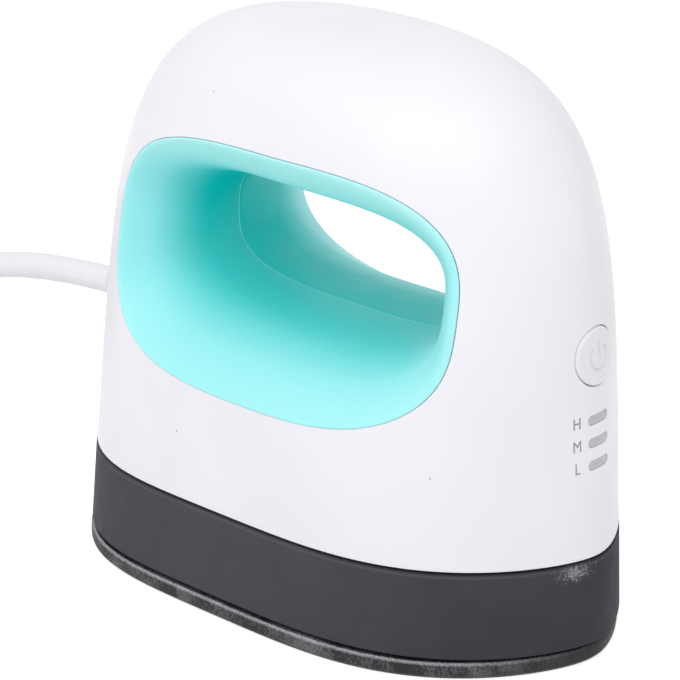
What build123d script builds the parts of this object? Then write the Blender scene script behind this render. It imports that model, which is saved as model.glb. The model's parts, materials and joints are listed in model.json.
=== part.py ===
from build123d import *

from math import copysign, cos, pi, radians, sin, sqrt, tan
import os

# Mini handheld heat press, in millimetres.
# +X points to the end with the button, -X to the end with the cord, +Z up.
# The origin is the centre of the heating plate's working face.

# ---- Heating plate, which sets the plan size of everything above it --------
base_length = 106.0
base_width = 64.4
plate_nose_step = 0.5
plate_rim = 3.4
plate_bevel = 0.8
pad_inset = 7.0
pad_rise = 2.0
boss_spacing_x = 66.0
boss_side = 15.9
boss_diameter = 8.0
spacer_thickness = 1.2
plate_screw_diameter = 2.9
plate_hole_depth = 6.5

# ---- Heater stack on the plate -------------------------------------------
heater_length = 58.0
heater_width = 36.0
heater_corner = 5.0
heater_margin = 1.0
heater_hole_gap = 1.2
heater_thickness = 1.2
mica_thickness = 0.4
clamp_thickness = 1.0
heater_screw_diameter = 2.4
heater_hole_depth = 3.0
tip_gap = 0.5
clip_x = -6.0
clip_width = 6.0
clip_thickness = 0.6
clamp_spots = ((-22.0, 0.0), (22.0, 0.0), (clip_x, 0.0))
fuse_diameter = 4.0
fuse_length = 11.0
fuse_y = 5.2
fuse_wire_diameter = 1.0
fuse_wire_reach = 4.0
sensor_diameter = 3.0
sensor_length = 8.0
sensor_y = -4.8
felt_inset = 9.0
felt_thickness = 3.4
felt_gap = 0.4
felt_window_gap = 1.0
lead_x = 10.0

# ---- Fits ------------------------------------------------------------------
fit_gap = 0.15
pilot_gap = 0.05
screw_clearance = 0.15

# A pan head's radius and height, as shares of its screw's diameter.
head_radius = 0.92
head_height = 0.6

# ---- Base skirt ----------------------------------------------------------
plate_gap = 0.4
skirt_width_step = 0.4
skirt_draft = 1.0
skirt_width_draft = 0.7
skirt_wall = 2.2
skirt_edge = 0.4
floor_under = 12.0
floor_thickness = 2.0
floor_window_length = 34.0
floor_window_width = 20.0
window_x = 2.0
window_corner = 3.0
tongue_wall = 1.6
tongue_rise = 3.4
tongue_gap = 0.5
hook_spots = (-24.0, 24.0)
hook_width = 7.0
hook_wall = 1.5
hook_inset = 1.85
hook_barb = 0.85
hook_gap = 0.3
barb_rise = 2.0
catch_lift = 1.9
catch_depth = 1.1
catch_height = 1.5

# ---- Upper shell ---------------------------------------------------------
seam_height = 19.1
seam_gap = 0.35
total_height = 97.8
shell_step = 0.1
shell_wall = 2.2
rib_root = 0.9
outline_points = 44

# The plan outline is |x/a|^p + |y/b|^q = 1, with each power made smooth at zero.
# Each end has its own powers, which change evenly from the seam to the crown.
front_powers = (3.1, 1.34)
front_crown_powers = (1.6, 2.12)
rear_powers = (4.9, 1.0)
rear_crown_powers = (2.6, 2.02)
softness = 0.12

# Its half length and half width shrink with the rise r, from 0 at the seam
# to 1 at the top, by (1 - taper r)(1 - r^power)^(1/root).
length_crown = (0.12, 4.8, 3.8)
width_crown = (0.14, 5.8, 3.1)
ring_rises = (0.0, 0.05, 0.13, 0.25, 0.4, 0.56, 0.7, 0.8, 0.88, 0.935, 0.97, 0.989, 0.9975, 0.9997)

# ---- Grip opening and its two liner halves -------------------------------
grip_x = 0.7
mouth_half_length = 34.7
mouth_half_height = 21.1
mouth_height = 60.4
mouth_power = 2.9
throat_x = 0.25
throat_half_length = 27.35
throat_half_height = 10.75
throat_height = 59.1
throat_power = 3.8
flare_power = 3.0
flare_slope = 3.0
liner_wall = 1.8
liner_land = 1.3
liner_clearance = 0.1
grip_points = 40
grip_depths = (0.0, 5.0, 10.0, 15.0, 19.0, 22.5, 26.0, 29.5, 33.0)
tab_width = 10.0
tab_reach = 6.0
tab_thickness = 1.4
tab_window_width = 5.0
tab_window_length = 2.4
tab_window_place = 4.2

# ---- Control board and what stands on it ---------------------------------
board_thickness = 1.6
board_side_gap = 0.9
board_foot = 17.0
board_top = 60.0
post_edge = 2.3
post_width = 4.0
post_depth = 4.6
board_hole_heights = (20.0, 50.0)
board_screw_diameter = 2.0
board_screw_length = 4.0
gusset_reach = 6.0

# ---- Button and switch ---------------------------------------------------
button_height = 53.2
button_diameter = 10.8
button_gap = 0.2
button_proud = 0.35
button_edge = 0.5
button_flange_step = 0.9
button_flange_thickness = 1.2
button_flange_gap = 0.24
button_travel = 0.5
collar_gap = 0.2
collar_wall = 1.4
switch_side = 6.0
switch_body_height = 3.5
switch_corner = 0.5
switch_leg_length = 1.4
switch_leg_width = 0.7
switch_leg_thickness = 0.25
switch_leg_overhang = 0.5
switch_leg_pitch = 4.5
plunger_diameter = 3.4
plunger_rise = 1.0
plunger_gap = 0.1

# ---- Indicator windows ---------------------------------------------------
lamp_heights = (42.8, 38.95, 35.1)
lens_length = 5.1
lens_height = 1.7
lens_gap = 0.08
lens_recess = 0.15
guide_gap = 0.5
guide_plate = 1.5
guide_margin = 2.2
guide_pin_diameter = 1.8
guide_pin_spacing = 7.4
led_length = 3.2
led_width = 1.6
led_base = 0.9
led_dome = 0.8

# ---- Other parts on the board ---------------------------------------------
terminal_pitch = 3.9
terminal_depth = 8.0
terminal_height = 9.0
lead_height = 21.5
lead_entry = 3.5
lead_stop = 0.5
film_height = 34.5
film_width = 13.0
film_rise = 11.0
film_depth = 7.0
film_corner = 0.8
smoothing_place = (-5.4, 25.9)
smoothing_diameter = 6.3
smoothing_length = 6.2
smoothing_edge = 0.4
triac_place = (4.6, 26.5)
triac_width = 7.8
triac_rise = 9.0
triac_thickness = 2.7
triac_corner = 0.5
triac_hole = 3.2
triac_leg_drop = 6.5
triac_leg_pitch = 2.3
triac_leg_width = 0.8
triac_leg_length = 4.4
triac_leg_thickness = 0.6
chip_place = (8.6, 40.0)
chip_width = 3.9
chip_rise = 8.6
chip_thickness = 1.5
chip_legs = 7
chip_leg_pitch = 1.27
chip_leg_span = 6.0
chip_leg_width = 0.4
chip_leg_thickness = 0.3
resistor_y = -8.6
resistor_foot = 35.0
resistor_length = 8.0
resistor_diameter = 3.2
resistor_wire_diameter = 0.8
resistor_wire_reach = 1.6
connector_height = 44.5
connector_width = 7.0
connector_rise = 5.0
connector_depth = 5.5
connector_entry = 2.0
sensor_pitch = 1.8
sensor_lead_diameter = 1.1

# ---- Cord ----------------------------------------------------------------
cord_diameter = 5.0
cord_height = 38.2
relief_gap = 0.1
relief_wall = 0.9
relief_tip_wall = 0.7
relief_nose_step = 1.0
relief_outside = 6.0
relief_neck = 4.0
relief_flange_step = 1.5
relief_flange = 1.2
relief_flange_gap = 0.6
jacket_reach = 6.5
clamp_setback = 10.4
clamp_length = 7.0
clamp_side = 2.7
clamp_corner = 1.0
clamp_bar = 2.4
clamp_split = 0.6
clamp_screw_diameter = 2.4
clamp_screw_gap = 2.3
clamp_screw_length = 11.0
saddle_root = 12.0
saddle_rise = 8.3
core_diameter = 1.9
core_spacing = 2.6
coil_turns_across = 3
coil_layers = 3
coil_mid_radius = 28.3
coil_x = -172.0
coil_y = 9.3
coil_corner = 1.6
tie_width = 6.0
tie_thickness = 1.0
tie_angle = 60.0

# ---- Two-pin plug ------------------------------------------------------------
plug_width = 21.0
plug_height = 12.0
plug_corner = 4.0
plug_shoulder = 5.0
plug_length = 24.0
plug_turn = 35.0
plug_relief_length = 14.0
plug_relief_wall = 0.6
plug_relief_flare = 1.4
plug_relief_grooves = 4
plug_groove_depth = 0.4
blade_spacing = 12.7
blade_width = 6.3
blade_thickness = 1.5
blade_length = 17.0
blade_hole = 3.1
blade_hole_edge = 2.6

# Worked out from the sizes above.
shell_half_length = base_length / 2 - skirt_draft - shell_step
shell_half_width = base_width / 2 - skirt_width_step - skirt_width_draft - shell_step
boss_spacing_y = base_width - 2 * boss_side
pad_top = plate_rim + pad_rise
boss_top = floor_under - spacer_thickness
skirt_bottom = plate_rim + plate_gap
skirt_top = seam_height - seam_gap
floor_top = floor_under + floor_thickness
tongue_top = seam_height + tongue_rise
hook_outline = (shell_half_length - shell_wall - hook_inset, shell_half_width - shell_wall - hook_inset)
catch_low = tongue_top + catch_lift
barb_low = catch_low + catch_height + hook_gap
heater_top = pad_top + heater_thickness
clamp_top = heater_top + mica_thickness + clamp_thickness
button_flange_diameter = button_diameter + 2 * button_flange_step
relief_diameter = cord_diameter + 2 * (relief_gap + relief_wall)
relief_nose_diameter = relief_diameter + 2 * relief_nose_step
relief_tip_diameter = cord_diameter + 2 * (relief_gap + relief_tip_wall)
relief_flange_diameter = relief_diameter + 2 * relief_flange_step
clamp_x = clamp_setback - shell_half_length
jacket_end = clamp_x + jacket_reach
clamp_screw_spacing = relief_diameter + 2 * clamp_screw_gap
clamp_width = clamp_screw_spacing + 2 * clamp_side
saddle_top = cord_height + saddle_rise
plug_relief_tip = cord_diameter + 2 * plug_relief_wall
plug_relief_root = plug_relief_tip + 2 * plug_relief_flare

os.makedirs("parts", exist_ok=True)


def signed_power(value, power):
    """Power of a value's size, with its sign kept."""
    return copysign(abs(value) ** power, value)


def eased_range(power):
    """Height of the smoothed power's curve between 0 and 1."""
    return (1 + softness**2) ** (power / 2) - softness**power


def eased(share, power):
    """Share raised to a power that is made smooth at zero."""
    return ((share**2 + softness**2) ** (power / 2) - softness**power) / eased_range(power)


def eased_slope(share, power):
    """Change of the smoothed power with its share."""
    return power * share * (share**2 + softness**2) ** (power / 2 - 1) / eased_range(power)


def eased_root(value, power):
    """Share that the smoothed power turns into a value."""
    square = (value * eased_range(power) + softness**power) ** (2 / power) - softness**2
    return sqrt(max(square, 0.0))


def outline_powers(x, rise):
    """Powers of the plan outline at one end and one rise."""
    seam, crown = (front_powers, front_crown_powers) if x >= 0 else (rear_powers, rear_crown_powers)
    return [low + (high - low) * rise for low, high in zip(seam, crown)]


def oval_points(half_length, half_width, rise=0.0, nose_step=0.0):
    """Points round the plan outline, whose nose may be set back."""
    points = []
    for step in range(outline_points):
        angle = 2 * pi * step / outline_points
        across, up = cos(angle), sin(angle)
        length_power, width_power = outline_powers(across, rise)
        reach = half_length - nose_step if across > 0 else half_length
        x = copysign(reach * eased_root(across**2, length_power), across)
        y = copysign(half_width * eased_root(up**2, width_power), up)
        points.append((x, y))
    return points


def smooth_loop(points):
    """Closed curve through the points, evenly spaced in its parameter."""
    steps = [step / len(points) for step in range(len(points) + 1)]
    return Edge.make_spline([Vector(*point) for point in points], periodic=True, parameters=steps)


def oval_face(height, half_length, half_width, rise=0.0, nose_step=0.0):
    """Face with the plan outline at one height."""
    with BuildSketch(Plane.XY.offset(height)) as face:
        with BuildLine():
            add(smooth_loop(oval_points(half_length, half_width, rise, nose_step)))
        make_face()
    return face.sketch


def shell_rise(height, inset=0.0):
    """Share of the way from the seam to the shell's top."""
    return max(0.0, (height - seam_height) / (total_height - inset - seam_height))


def shell_size(height, inset=0.0):
    """Half length and half width of the shell at one height."""
    rise = shell_rise(height, inset)
    sizes = []
    for half, (taper, power, root) in (
        (shell_half_length - inset, length_crown),
        (shell_half_width - inset, width_crown),
    ):
        sizes.append(half * (1 - taper * rise) * (1 - rise**power) ** (1 / root))
    return sizes


def dome(inset):
    """Shell's outer form, or the same form drawn in by an inset."""
    faces = []
    for rise in ring_rises:
        height = seam_height + rise * (total_height - inset - seam_height)
        half_length, half_width = shell_size(height, inset)
        faces.append(oval_face(height, half_length, half_width, rise))
    with BuildPart() as form:
        loft(faces)
    return form.part


def skirt_size(height, inset):
    """Half length and half width of the skirt at one height."""
    share = (height - skirt_bottom) / (skirt_top - skirt_bottom)
    half_length = base_length / 2 - share * skirt_draft - inset
    half_width = base_width / 2 - skirt_width_step - share * skirt_width_draft - inset
    return half_length, half_width


def tongue_faces(inset):
    """Lower and upper face of the tongue's form, drawn in by an inset."""
    faces = []
    for height in (floor_top, tongue_top):
        half_length, half_width = shell_size(max(height, seam_height), shell_wall)
        clear = tongue_gap + inset
        faces.append(
            oval_face(height, half_length - clear, half_width - clear, shell_rise(height, shell_wall))
        )
    return faces


def side_depth(x, z, inset=0.0):
    """Distance of the shell's side from the middle plane at one place."""
    half_length, half_width = shell_size(z, inset)
    length_power, width_power = outline_powers(x, shell_rise(z, inset))
    return half_width * eased_root(1 - eased(x / half_length, length_power), width_power)


def nose_reach(y, z, inset=0.0):
    """Distance of the shell's nose from the origin at one place."""
    half_length, half_width = shell_size(z, inset)
    length_power, width_power = outline_powers(1, shell_rise(z, inset))
    return half_length * eased_root(1 - eased(y / half_width, width_power), length_power)


def grip_points_at(depth, land, wall):
    """Section of the grip's funnel at one distance from the middle plane.

    The funnel has the throat's size in the middle plane, grown by the wall,
    and the mouth's size, drawn in by the land, on the shell's surface.
    """
    points = []
    for step in range(grip_points):
        angle = 2 * pi * (step + 0.5) / grip_points
        across, up = cos(angle), sin(angle)
        mouth_x = (mouth_half_length - land) * signed_power(across, 2 / mouth_power)
        mouth_z = (mouth_half_height - land) * signed_power(up, 2 / mouth_power)
        across_throat = (throat_half_length + wall) * signed_power(across, 2 / throat_power)
        up_throat = (throat_half_height + wall) * signed_power(up, 2 / throat_power)
        share = depth / side_depth(grip_x + mouth_x, mouth_height + mouth_z)
        flare = share**flare_power if share < 1 else 1 + flare_slope * (share - 1)
        inner = Vector(throat_x + across_throat, throat_height + up_throat)
        outer = Vector(grip_x + mouth_x, mouth_height + mouth_z)
        place = inner + (outer - inner) * flare
        points.append((place.X, place.Y))
    return points


def funnel(land, wall):
    """Solid of the grip's funnel on the -Y side."""
    with BuildPart() as form:
        for depth in grip_depths:
            with BuildSketch(Plane.XZ.offset(depth)):
                with BuildLine():
                    add(smooth_loop(grip_points_at(depth, land, wall)))
                make_face()
        loft()
    return form.part


def wall_plane(x, side, height, half_length, half_width):
    """Plane on the plan outline: x along the wall, y up and z outwards."""
    length_power, width_power = outline_powers(x, 0.0)
    y = half_width * eased_root(1 - eased(x / half_length, length_power), width_power)
    normal_x = eased_slope(x / half_length, length_power) / half_length
    normal_y = side * eased_slope(y / half_width, width_power) / half_width
    return Plane(origin=(x, side * y, height), x_dir=(-normal_y, normal_x, 0), z_dir=(normal_x, normal_y, 0))


def corner_radii(points):
    """Arc radius at each inner corner of a route, as large as its runs allow."""
    radii = []
    for before, corner, after in zip(points, points[1:], points[2:]):
        arriving = Vector(*corner) - Vector(*before)
        leaving = Vector(*after) - Vector(*corner)
        half_turn = radians(arriving.get_angle(leaving)) / 2
        radii.append(0.45 * min(arriving.length, leaving.length) / tan(half_turn))
    return radii


def tube(points, diameter):
    """Round tube along a route of straight runs and tangent arcs."""
    with BuildPart() as form:
        with BuildLine() as route:
            FilletPolyline(*points, radius=corner_radii(points))
        with BuildSketch(Plane(origin=route.line @ 0, z_dir=route.line % 0)):
            Circle(diameter / 2)
        sweep(path=route.line)
    return form.part


def screw(seat, diameter, shank):
    """Pan-head screw: the head stands on its seat plane, and the shank runs back from it."""
    with BuildPart() as form:
        with BuildSketch(seat):
            Circle(diameter * head_radius)
        extrude(amount=diameter * head_height)
        with BuildSketch(seat):
            Circle(diameter / 2)
        extrude(amount=-shank)
    return form.part


# ---- Places that follow from the shell's form -------------------------------
# The button's flange stands just inside the nose, and the board carries it.
flange_reaches = []
for step in range(24):
    around = 2 * pi * step / 24
    across, up = button_flange_diameter / 2 * cos(around), button_flange_diameter / 2 * sin(around)
    flange_reaches.append(nose_reach(across, button_height + up, shell_wall))
flange_front = min(flange_reaches) - button_flange_gap
flange_rear = flange_front - button_flange_thickness
collar_face = flange_front + collar_gap
switch_top = flange_rear - plunger_rise
board_front = switch_top - switch_body_height
board_rear = board_front - board_thickness
board_width = 2 * (side_depth(board_front, board_top, shell_wall) - board_side_gap)
post_spacing = board_width - 2 * post_edge
guide_rear = board_front + led_base + led_dome + guide_gap

# ---- Upper shell: one moulding with the grip opening through it -----------
outer_form = dome(0.0)
inner_form = dome(shell_wall)
rib_form = dome(shell_wall - rib_root)
near_cut = funnel(-liner_clearance, liner_wall + liner_clearance)
far_cut = mirror(near_cut, about=Plane.XZ)

with BuildPart() as shell_ribs:
    # Saddle above the cord, with two pilot holes and a half round groove.
    with BuildSketch(Plane.XY.offset(cord_height + clamp_split)):
        with Locations((clamp_x - saddle_root / 2, 0)):
            Rectangle(clamp_length + saddle_root, clamp_width)
    extrude(amount=saddle_top - cord_height - clamp_split)
    with BuildSketch(Plane.XY.offset(cord_height)):
        with Locations((clamp_x, 0)):
            with GridLocations(1, clamp_screw_spacing, 1, 2):
                Circle(clamp_screw_diameter / 2 + pilot_gap)
    extrude(amount=clamp_screw_length - clamp_bar - clamp_split, mode=Mode.SUBTRACT)
    with BuildSketch(Plane.YZ.offset(clamp_x)):
        with Locations((0, cord_height)):
            Circle(relief_diameter / 2 + fit_gap)
    extrude(amount=clamp_length, both=True, mode=Mode.SUBTRACT)
    with BuildSketch(Plane.YZ.offset(clamp_x - clamp_length / 2)):
        with Locations((0, cord_height)):
            Circle(relief_flange_diameter / 2 + relief_flange_gap)
    extrude(amount=-saddle_root, mode=Mode.SUBTRACT)
    # Collar that stops the button's flange.
    with BuildSketch(Plane.YZ.offset(collar_face)):
        with Locations((0, button_height)):
            Circle(button_diameter / 2 + button_gap + collar_wall)
    extrude(amount=shell_half_length - collar_face)
    # Catches for the skirt's hooks.
    for x in hook_spots:
        for side in (-1, 1):
            spot = wall_plane(x, side, catch_low + catch_height / 2, *hook_outline)
            with BuildSketch(spot.offset(hook_gap)):
                Rectangle(hook_width + 1, catch_height)
            extrude(amount=catch_depth + shell_wall)
    add(rib_form, mode=Mode.INTERSECT)

with BuildPart() as upper_shell:
    add(outer_form)
    add(inner_form, mode=Mode.SUBTRACT)
    add(shell_ribs.part)
    add(near_cut, mode=Mode.SUBTRACT)
    add(far_cut, mode=Mode.SUBTRACT)
    # Button bore and three indicator windows in the nose.
    with BuildSketch(Plane.YZ.offset(flange_front)):
        with Locations((0, button_height)):
            Circle(button_diameter / 2 + button_gap)
        for height in lamp_heights:
            with Locations((0, height)):
                SlotOverall(lens_length + 2 * lens_gap, lens_height + 2 * lens_gap)
    extrude(amount=base_length / 2, mode=Mode.SUBTRACT)
    # Cord hole in the rear wall.
    with BuildSketch(Plane.YZ.offset(-base_length / 2)):
        with Locations((0, cord_height)):
            Circle(relief_diameter / 2 + fit_gap)
    extrude(amount=base_length / 2 + clamp_x, mode=Mode.SUBTRACT)
upper_shell.part.label = "upper_shell"
export_step(upper_shell.part, "parts/upper_shell.step")

# ---- Grip liner: two funnels that snap together in the middle plane --------
liner_outer = funnel(0.0, liner_wall)
liner_inner = funnel(liner_land, 0.0)
far_outer = mirror(liner_outer, about=Plane.XZ)
far_inner = mirror(liner_inner, about=Plane.XZ)
tab_seat = throat_half_height + liner_wall

with BuildPart() as grip_liner_near:
    add(liner_outer)
    add(liner_inner, mode=Mode.SUBTRACT)
    add(outer_form, mode=Mode.INTERSECT)
    # A windowed tab above and below reaches over the other half.
    for side in (-1, 1):
        with Locations((throat_x, 0, throat_height + side * (tab_seat + 2 * fit_gap + tab_thickness / 2))):
            Box(tab_width, 2 * tab_reach, tab_thickness)
        with Locations((throat_x, -tab_reach / 2 - fit_gap, throat_height + side * tab_seat)):
            Box(tab_width, tab_reach, liner_wall)
        with Locations((throat_x, tab_window_place, throat_height + side * (tab_seat + tab_thickness))):
            Box(tab_window_width, tab_window_length, 2 * tab_thickness, mode=Mode.SUBTRACT)
grip_liner_near.part.label = "grip_liner_near"
export_step(grip_liner_near.part, "parts/grip_liner_near.step")

with BuildPart() as grip_liner_far:
    add(far_outer)
    add(far_inner, mode=Mode.SUBTRACT)
    add(outer_form, mode=Mode.INTERSECT)
    # A catch for each window.
    for side in (-1, 1):
        with Locations((throat_x, tab_window_place, throat_height + side * tab_seat)):
            Box(tab_window_width - 2 * fit_gap, tab_window_length - 2 * fit_gap, 2 * tab_thickness)
grip_liner_far.part.label = "grip_liner_far"
export_step(grip_liner_far.part, "parts/grip_liner_far.step")

# ---- Base skirt ------------------------------------------------------------
with BuildPart() as base_skirt:
    # Outer wall with both its edges bevelled.
    wall_rings = (
        (skirt_bottom, skirt_edge),
        (skirt_bottom + skirt_edge, 0.0),
        (skirt_top - skirt_edge, 0.0),
        (skirt_top, skirt_edge),
    )
    loft([oval_face(z, *skirt_size(z, inset)) for z, inset in wall_rings], ruled=True)
    loft([oval_face(z, *skirt_size(z, skirt_wall)) for z in (skirt_bottom, floor_under)], mode=Mode.SUBTRACT)
    loft([oval_face(z, *skirt_size(z, skirt_wall)) for z in (floor_top, skirt_top)], mode=Mode.SUBTRACT)
    # Tongue inside the shell's lower edge, leaning in as the shell does.
    loft(tongue_faces(0.0))
    loft(tongue_faces(tongue_wall), mode=Mode.SUBTRACT)
    # Snap hooks.
    for x in hook_spots:
        for side in (-1, 1):
            arm_height = barb_low + barb_rise - floor_top
            arm = wall_plane(x, side, floor_top + arm_height / 2, *hook_outline)
            with BuildSketch(arm):
                Rectangle(hook_width, arm_height)
            extrude(amount=-hook_wall)
            barb = wall_plane(x, side, barb_low + barb_rise / 2, *hook_outline)
            with BuildSketch(barb):
                Rectangle(hook_width, barb_rise)
            extrude(amount=hook_barb, taper=20)
    # Posts that carry the control board, each with a gusset.
    for side in (-1, 1):
        with BuildSketch(Plane.XZ.offset(side * post_spacing / 2)):
            with BuildLine():
                Polyline(
                    (board_rear, floor_top),
                    (board_rear, board_hole_heights[1] + post_width),
                    (board_rear - post_depth, board_hole_heights[1] + post_width),
                    (board_rear - post_depth, floor_top + 3 * gusset_reach),
                    (board_rear - post_depth - gusset_reach, floor_top),
                    close=True,
                )
            make_face()
        extrude(amount=post_width / 2, both=True)
    with BuildSketch(Plane.YZ.offset(board_rear)):
        for height in board_hole_heights:
            with Locations((0, height)):
                with GridLocations(post_spacing, 1, 2, 1):
                    Circle(board_screw_diameter / 2 + pilot_gap)
    extrude(amount=-board_screw_length, mode=Mode.SUBTRACT)
    # Window for the leads, and holes for the plate's screws.
    with BuildSketch(Plane.XY.offset(floor_under)):
        with Locations((window_x, 0)):
            RectangleRounded(floor_window_length, floor_window_width, window_corner)
        with GridLocations(boss_spacing_x, boss_spacing_y, 2, 2):
            Circle(plate_screw_diameter / 2 + screw_clearance)
    extrude(amount=floor_thickness, mode=Mode.SUBTRACT)
base_skirt.part.label = "base_skirt"
export_step(base_skirt.part, "parts/base_skirt.step")

# ---- Heating plate, heater and what presses on it ----------------------------
with BuildPart() as heating_plate:
    extrude(oval_face(0, base_length / 2, base_width / 2, nose_step=plate_nose_step), amount=plate_rim)
    chamfer(heating_plate.edges().group_by(Axis.Z)[-1], plate_bevel)
    chamfer(heating_plate.edges().group_by(Axis.Z)[0], plate_bevel)
    extrude(oval_face(plate_rim, base_length / 2 - pad_inset, base_width / 2 - pad_inset), amount=pad_rise)
    with BuildSketch(Plane.XY.offset(plate_rim)):
        with GridLocations(boss_spacing_x, boss_spacing_y, 2, 2):
            Circle(boss_diameter / 2)
    extrude(amount=boss_top - plate_rim)
    with BuildSketch(Plane.XY.offset(boss_top)):
        with GridLocations(boss_spacing_x, boss_spacing_y, 2, 2):
            Circle(plate_screw_diameter / 2 + pilot_gap)
    extrude(amount=-plate_hole_depth, mode=Mode.SUBTRACT)
    with BuildSketch(Plane.XY.offset(pad_top)):
        with Locations(*clamp_spots):
            Circle(heater_screw_diameter / 2 + pilot_gap)
    extrude(amount=-heater_hole_depth, mode=Mode.SUBTRACT)
heating_plate.part.label = "heating_plate"
export_step(heating_plate.part, "parts/heating_plate.step")

with BuildPart() as heater_element:
    with BuildSketch(Plane.XY.offset(pad_top)):
        RectangleRounded(
            heater_length - 2 * heater_margin, heater_width - 2 * heater_margin, heater_corner - heater_margin
        )
        with Locations(*clamp_spots):
            Circle(heater_screw_diameter / 2 + heater_hole_gap, mode=Mode.SUBTRACT)
    extrude(amount=heater_thickness)
heater_element.part.label = "heater_element"
export_step(heater_element.part, "parts/heater_element.step")

with BuildPart() as mica_sheet:
    with BuildSketch(Plane.XY.offset(heater_top)):
        RectangleRounded(heater_length, heater_width, heater_corner)
        with Locations(*clamp_spots):
            Circle(heater_screw_diameter / 2 + screw_clearance, mode=Mode.SUBTRACT)
        with Locations((lead_x, 0)):
            with GridLocations(1, terminal_pitch, 1, 2):
                Circle(core_diameter / 2 + screw_clearance, mode=Mode.SUBTRACT)
    extrude(amount=mica_thickness)
mica_sheet.part.label = "mica_sheet"
export_step(mica_sheet.part, "parts/mica_sheet.step")

with BuildPart() as clamp_plate:
    with BuildSketch(Plane.XY.offset(heater_top + mica_thickness)):
        RectangleRounded(heater_length, heater_width, heater_corner)
        with Locations(*clamp_spots):
            Circle(heater_screw_diameter / 2 + screw_clearance, mode=Mode.SUBTRACT)
        with Locations((lead_x, 0)):
            with GridLocations(1, terminal_pitch, 1, 2):
                Circle(core_diameter / 2 + screw_clearance, mode=Mode.SUBTRACT)
    extrude(amount=clamp_thickness)
clamp_plate.part.label = "clamp_plate"
export_step(clamp_plate.part, "parts/clamp_plate.step")

# Two screws hold the clamp plate, and the third the sensor clip as well.
with BuildPart() as clamp_screws:
    for x, y in clamp_spots:
        seat = clamp_top + (clip_thickness if x == clip_x else 0)
        tip = pad_top - heater_hole_depth + tip_gap
        add(screw(Plane(origin=(x, y, seat)), heater_screw_diameter, seat - tip))
clamp_screws.part.label = "clamp_screws"
export_step(clamp_screws.part, "parts/clamp_screws.step")

# Thermal fuse and thermistor lie on the clamp plate under one pressed clip.
with BuildPart() as thermal_fuse:
    with BuildSketch(Plane.YZ.offset(clip_x - fuse_length / 2)):
        with Locations((fuse_y, clamp_top + fuse_diameter / 2)):
            Circle(fuse_diameter / 2)
    extrude(amount=fuse_length)
    with BuildSketch(Plane.YZ.offset(clip_x - fuse_length / 2 - fuse_wire_reach)):
        with Locations((fuse_y, clamp_top + fuse_diameter / 2)):
            Circle(fuse_wire_diameter / 2)
    extrude(amount=fuse_length + 2 * fuse_wire_reach)
thermal_fuse.part.label = "thermal_fuse"
export_step(thermal_fuse.part, "parts/thermal_fuse.step")

with BuildPart() as thermistor:
    with BuildSketch(Plane.YZ.offset(clip_x - sensor_length / 2)):
        with Locations((sensor_y, clamp_top + sensor_diameter / 2)):
            Circle(sensor_diameter / 2)
    extrude(amount=sensor_length)
thermistor.part.label = "thermistor"
export_step(thermistor.part, "parts/thermistor.step")

with BuildPart() as sensor_clip:
    with BuildSketch(Plane.YZ.offset(clip_x - clip_width / 2)):
        with Locations(((fuse_y + sensor_y) / 2, clamp_top + clip_thickness / 2)):
            Rectangle(fuse_y - sensor_y + fuse_diameter + sensor_diameter, clip_thickness)
        for y, diameter in ((fuse_y, fuse_diameter), (sensor_y, sensor_diameter)):
            saddle = diameter / 2 + fit_gap
            with Locations((y, clamp_top + diameter / 2)):
                Circle(saddle + clip_thickness)
            with Locations((y, clamp_top + diameter / 4)):
                Rectangle(2 * (saddle + clip_thickness), diameter / 2)
        for y, diameter in ((fuse_y, fuse_diameter), (sensor_y, sensor_diameter)):
            saddle = diameter / 2 + fit_gap
            with Locations((y, clamp_top + diameter / 2)):
                Circle(saddle, mode=Mode.SUBTRACT)
            with Locations((y, clamp_top)):
                Rectangle(2 * saddle, diameter, mode=Mode.SUBTRACT)
        with Locations(((fuse_y + sensor_y) / 2, clamp_top - diameter)):
            Rectangle(base_width, 2 * diameter, mode=Mode.SUBTRACT)
    extrude(amount=clip_width)
    with BuildSketch(Plane.XY.offset(clamp_top)):
        with Locations((clip_x, 0)):
            Circle(heater_screw_diameter / 2 + screw_clearance)
    extrude(amount=clip_thickness, mode=Mode.SUBTRACT)
sensor_clip.part.label = "sensor_clip"
export_step(sensor_clip.part, "parts/sensor_clip.step")

# Ceramic felt between the clamp plate and the skirt's floor.
with BuildPart() as insulation_felt:
    extrude(
        oval_face(clamp_top, base_length / 2 - felt_inset, base_width / 2 - felt_inset), amount=felt_thickness
    )
    with BuildSketch(Plane.XY.offset(clamp_top)):
        with Locations((window_x, 0)):
            RectangleRounded(
                floor_window_length + 2 * felt_window_gap,
                floor_window_width + 2 * felt_window_gap,
                window_corner + felt_window_gap,
            )
        with GridLocations(boss_spacing_x, boss_spacing_y, 2, 2):
            Circle(boss_diameter / 2 + felt_gap)
        with Locations(*clamp_spots):
            Circle(heater_screw_diameter * head_radius + felt_gap)
    extrude(amount=felt_thickness, mode=Mode.SUBTRACT)
insulation_felt.part.label = "insulation_felt"
export_step(insulation_felt.part, "parts/insulation_felt.step")

with BuildPart() as plate_spacers:
    with BuildSketch(Plane.XY.offset(boss_top)):
        with GridLocations(boss_spacing_x, boss_spacing_y, 2, 2):
            Circle(boss_diameter / 2)
            Circle(plate_screw_diameter / 2 + screw_clearance, mode=Mode.SUBTRACT)
    extrude(amount=spacer_thickness)
plate_spacers.part.label = "plate_spacers"
export_step(plate_spacers.part, "parts/plate_spacers.step")

with BuildPart() as plate_screws:
    for end in (-1, 1):
        for side in (-1, 1):
            seat = Plane(origin=(end * boss_spacing_x / 2, side * boss_spacing_y / 2, floor_top))
            add(screw(seat, plate_screw_diameter, floor_top - boss_top + plate_hole_depth - tip_gap))
plate_screws.part.label = "plate_screws"
export_step(plate_screws.part, "parts/plate_screws.step")

# ---- Control board -----------------------------------------------------------
board_middle = (board_foot + board_top) / 2

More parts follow.
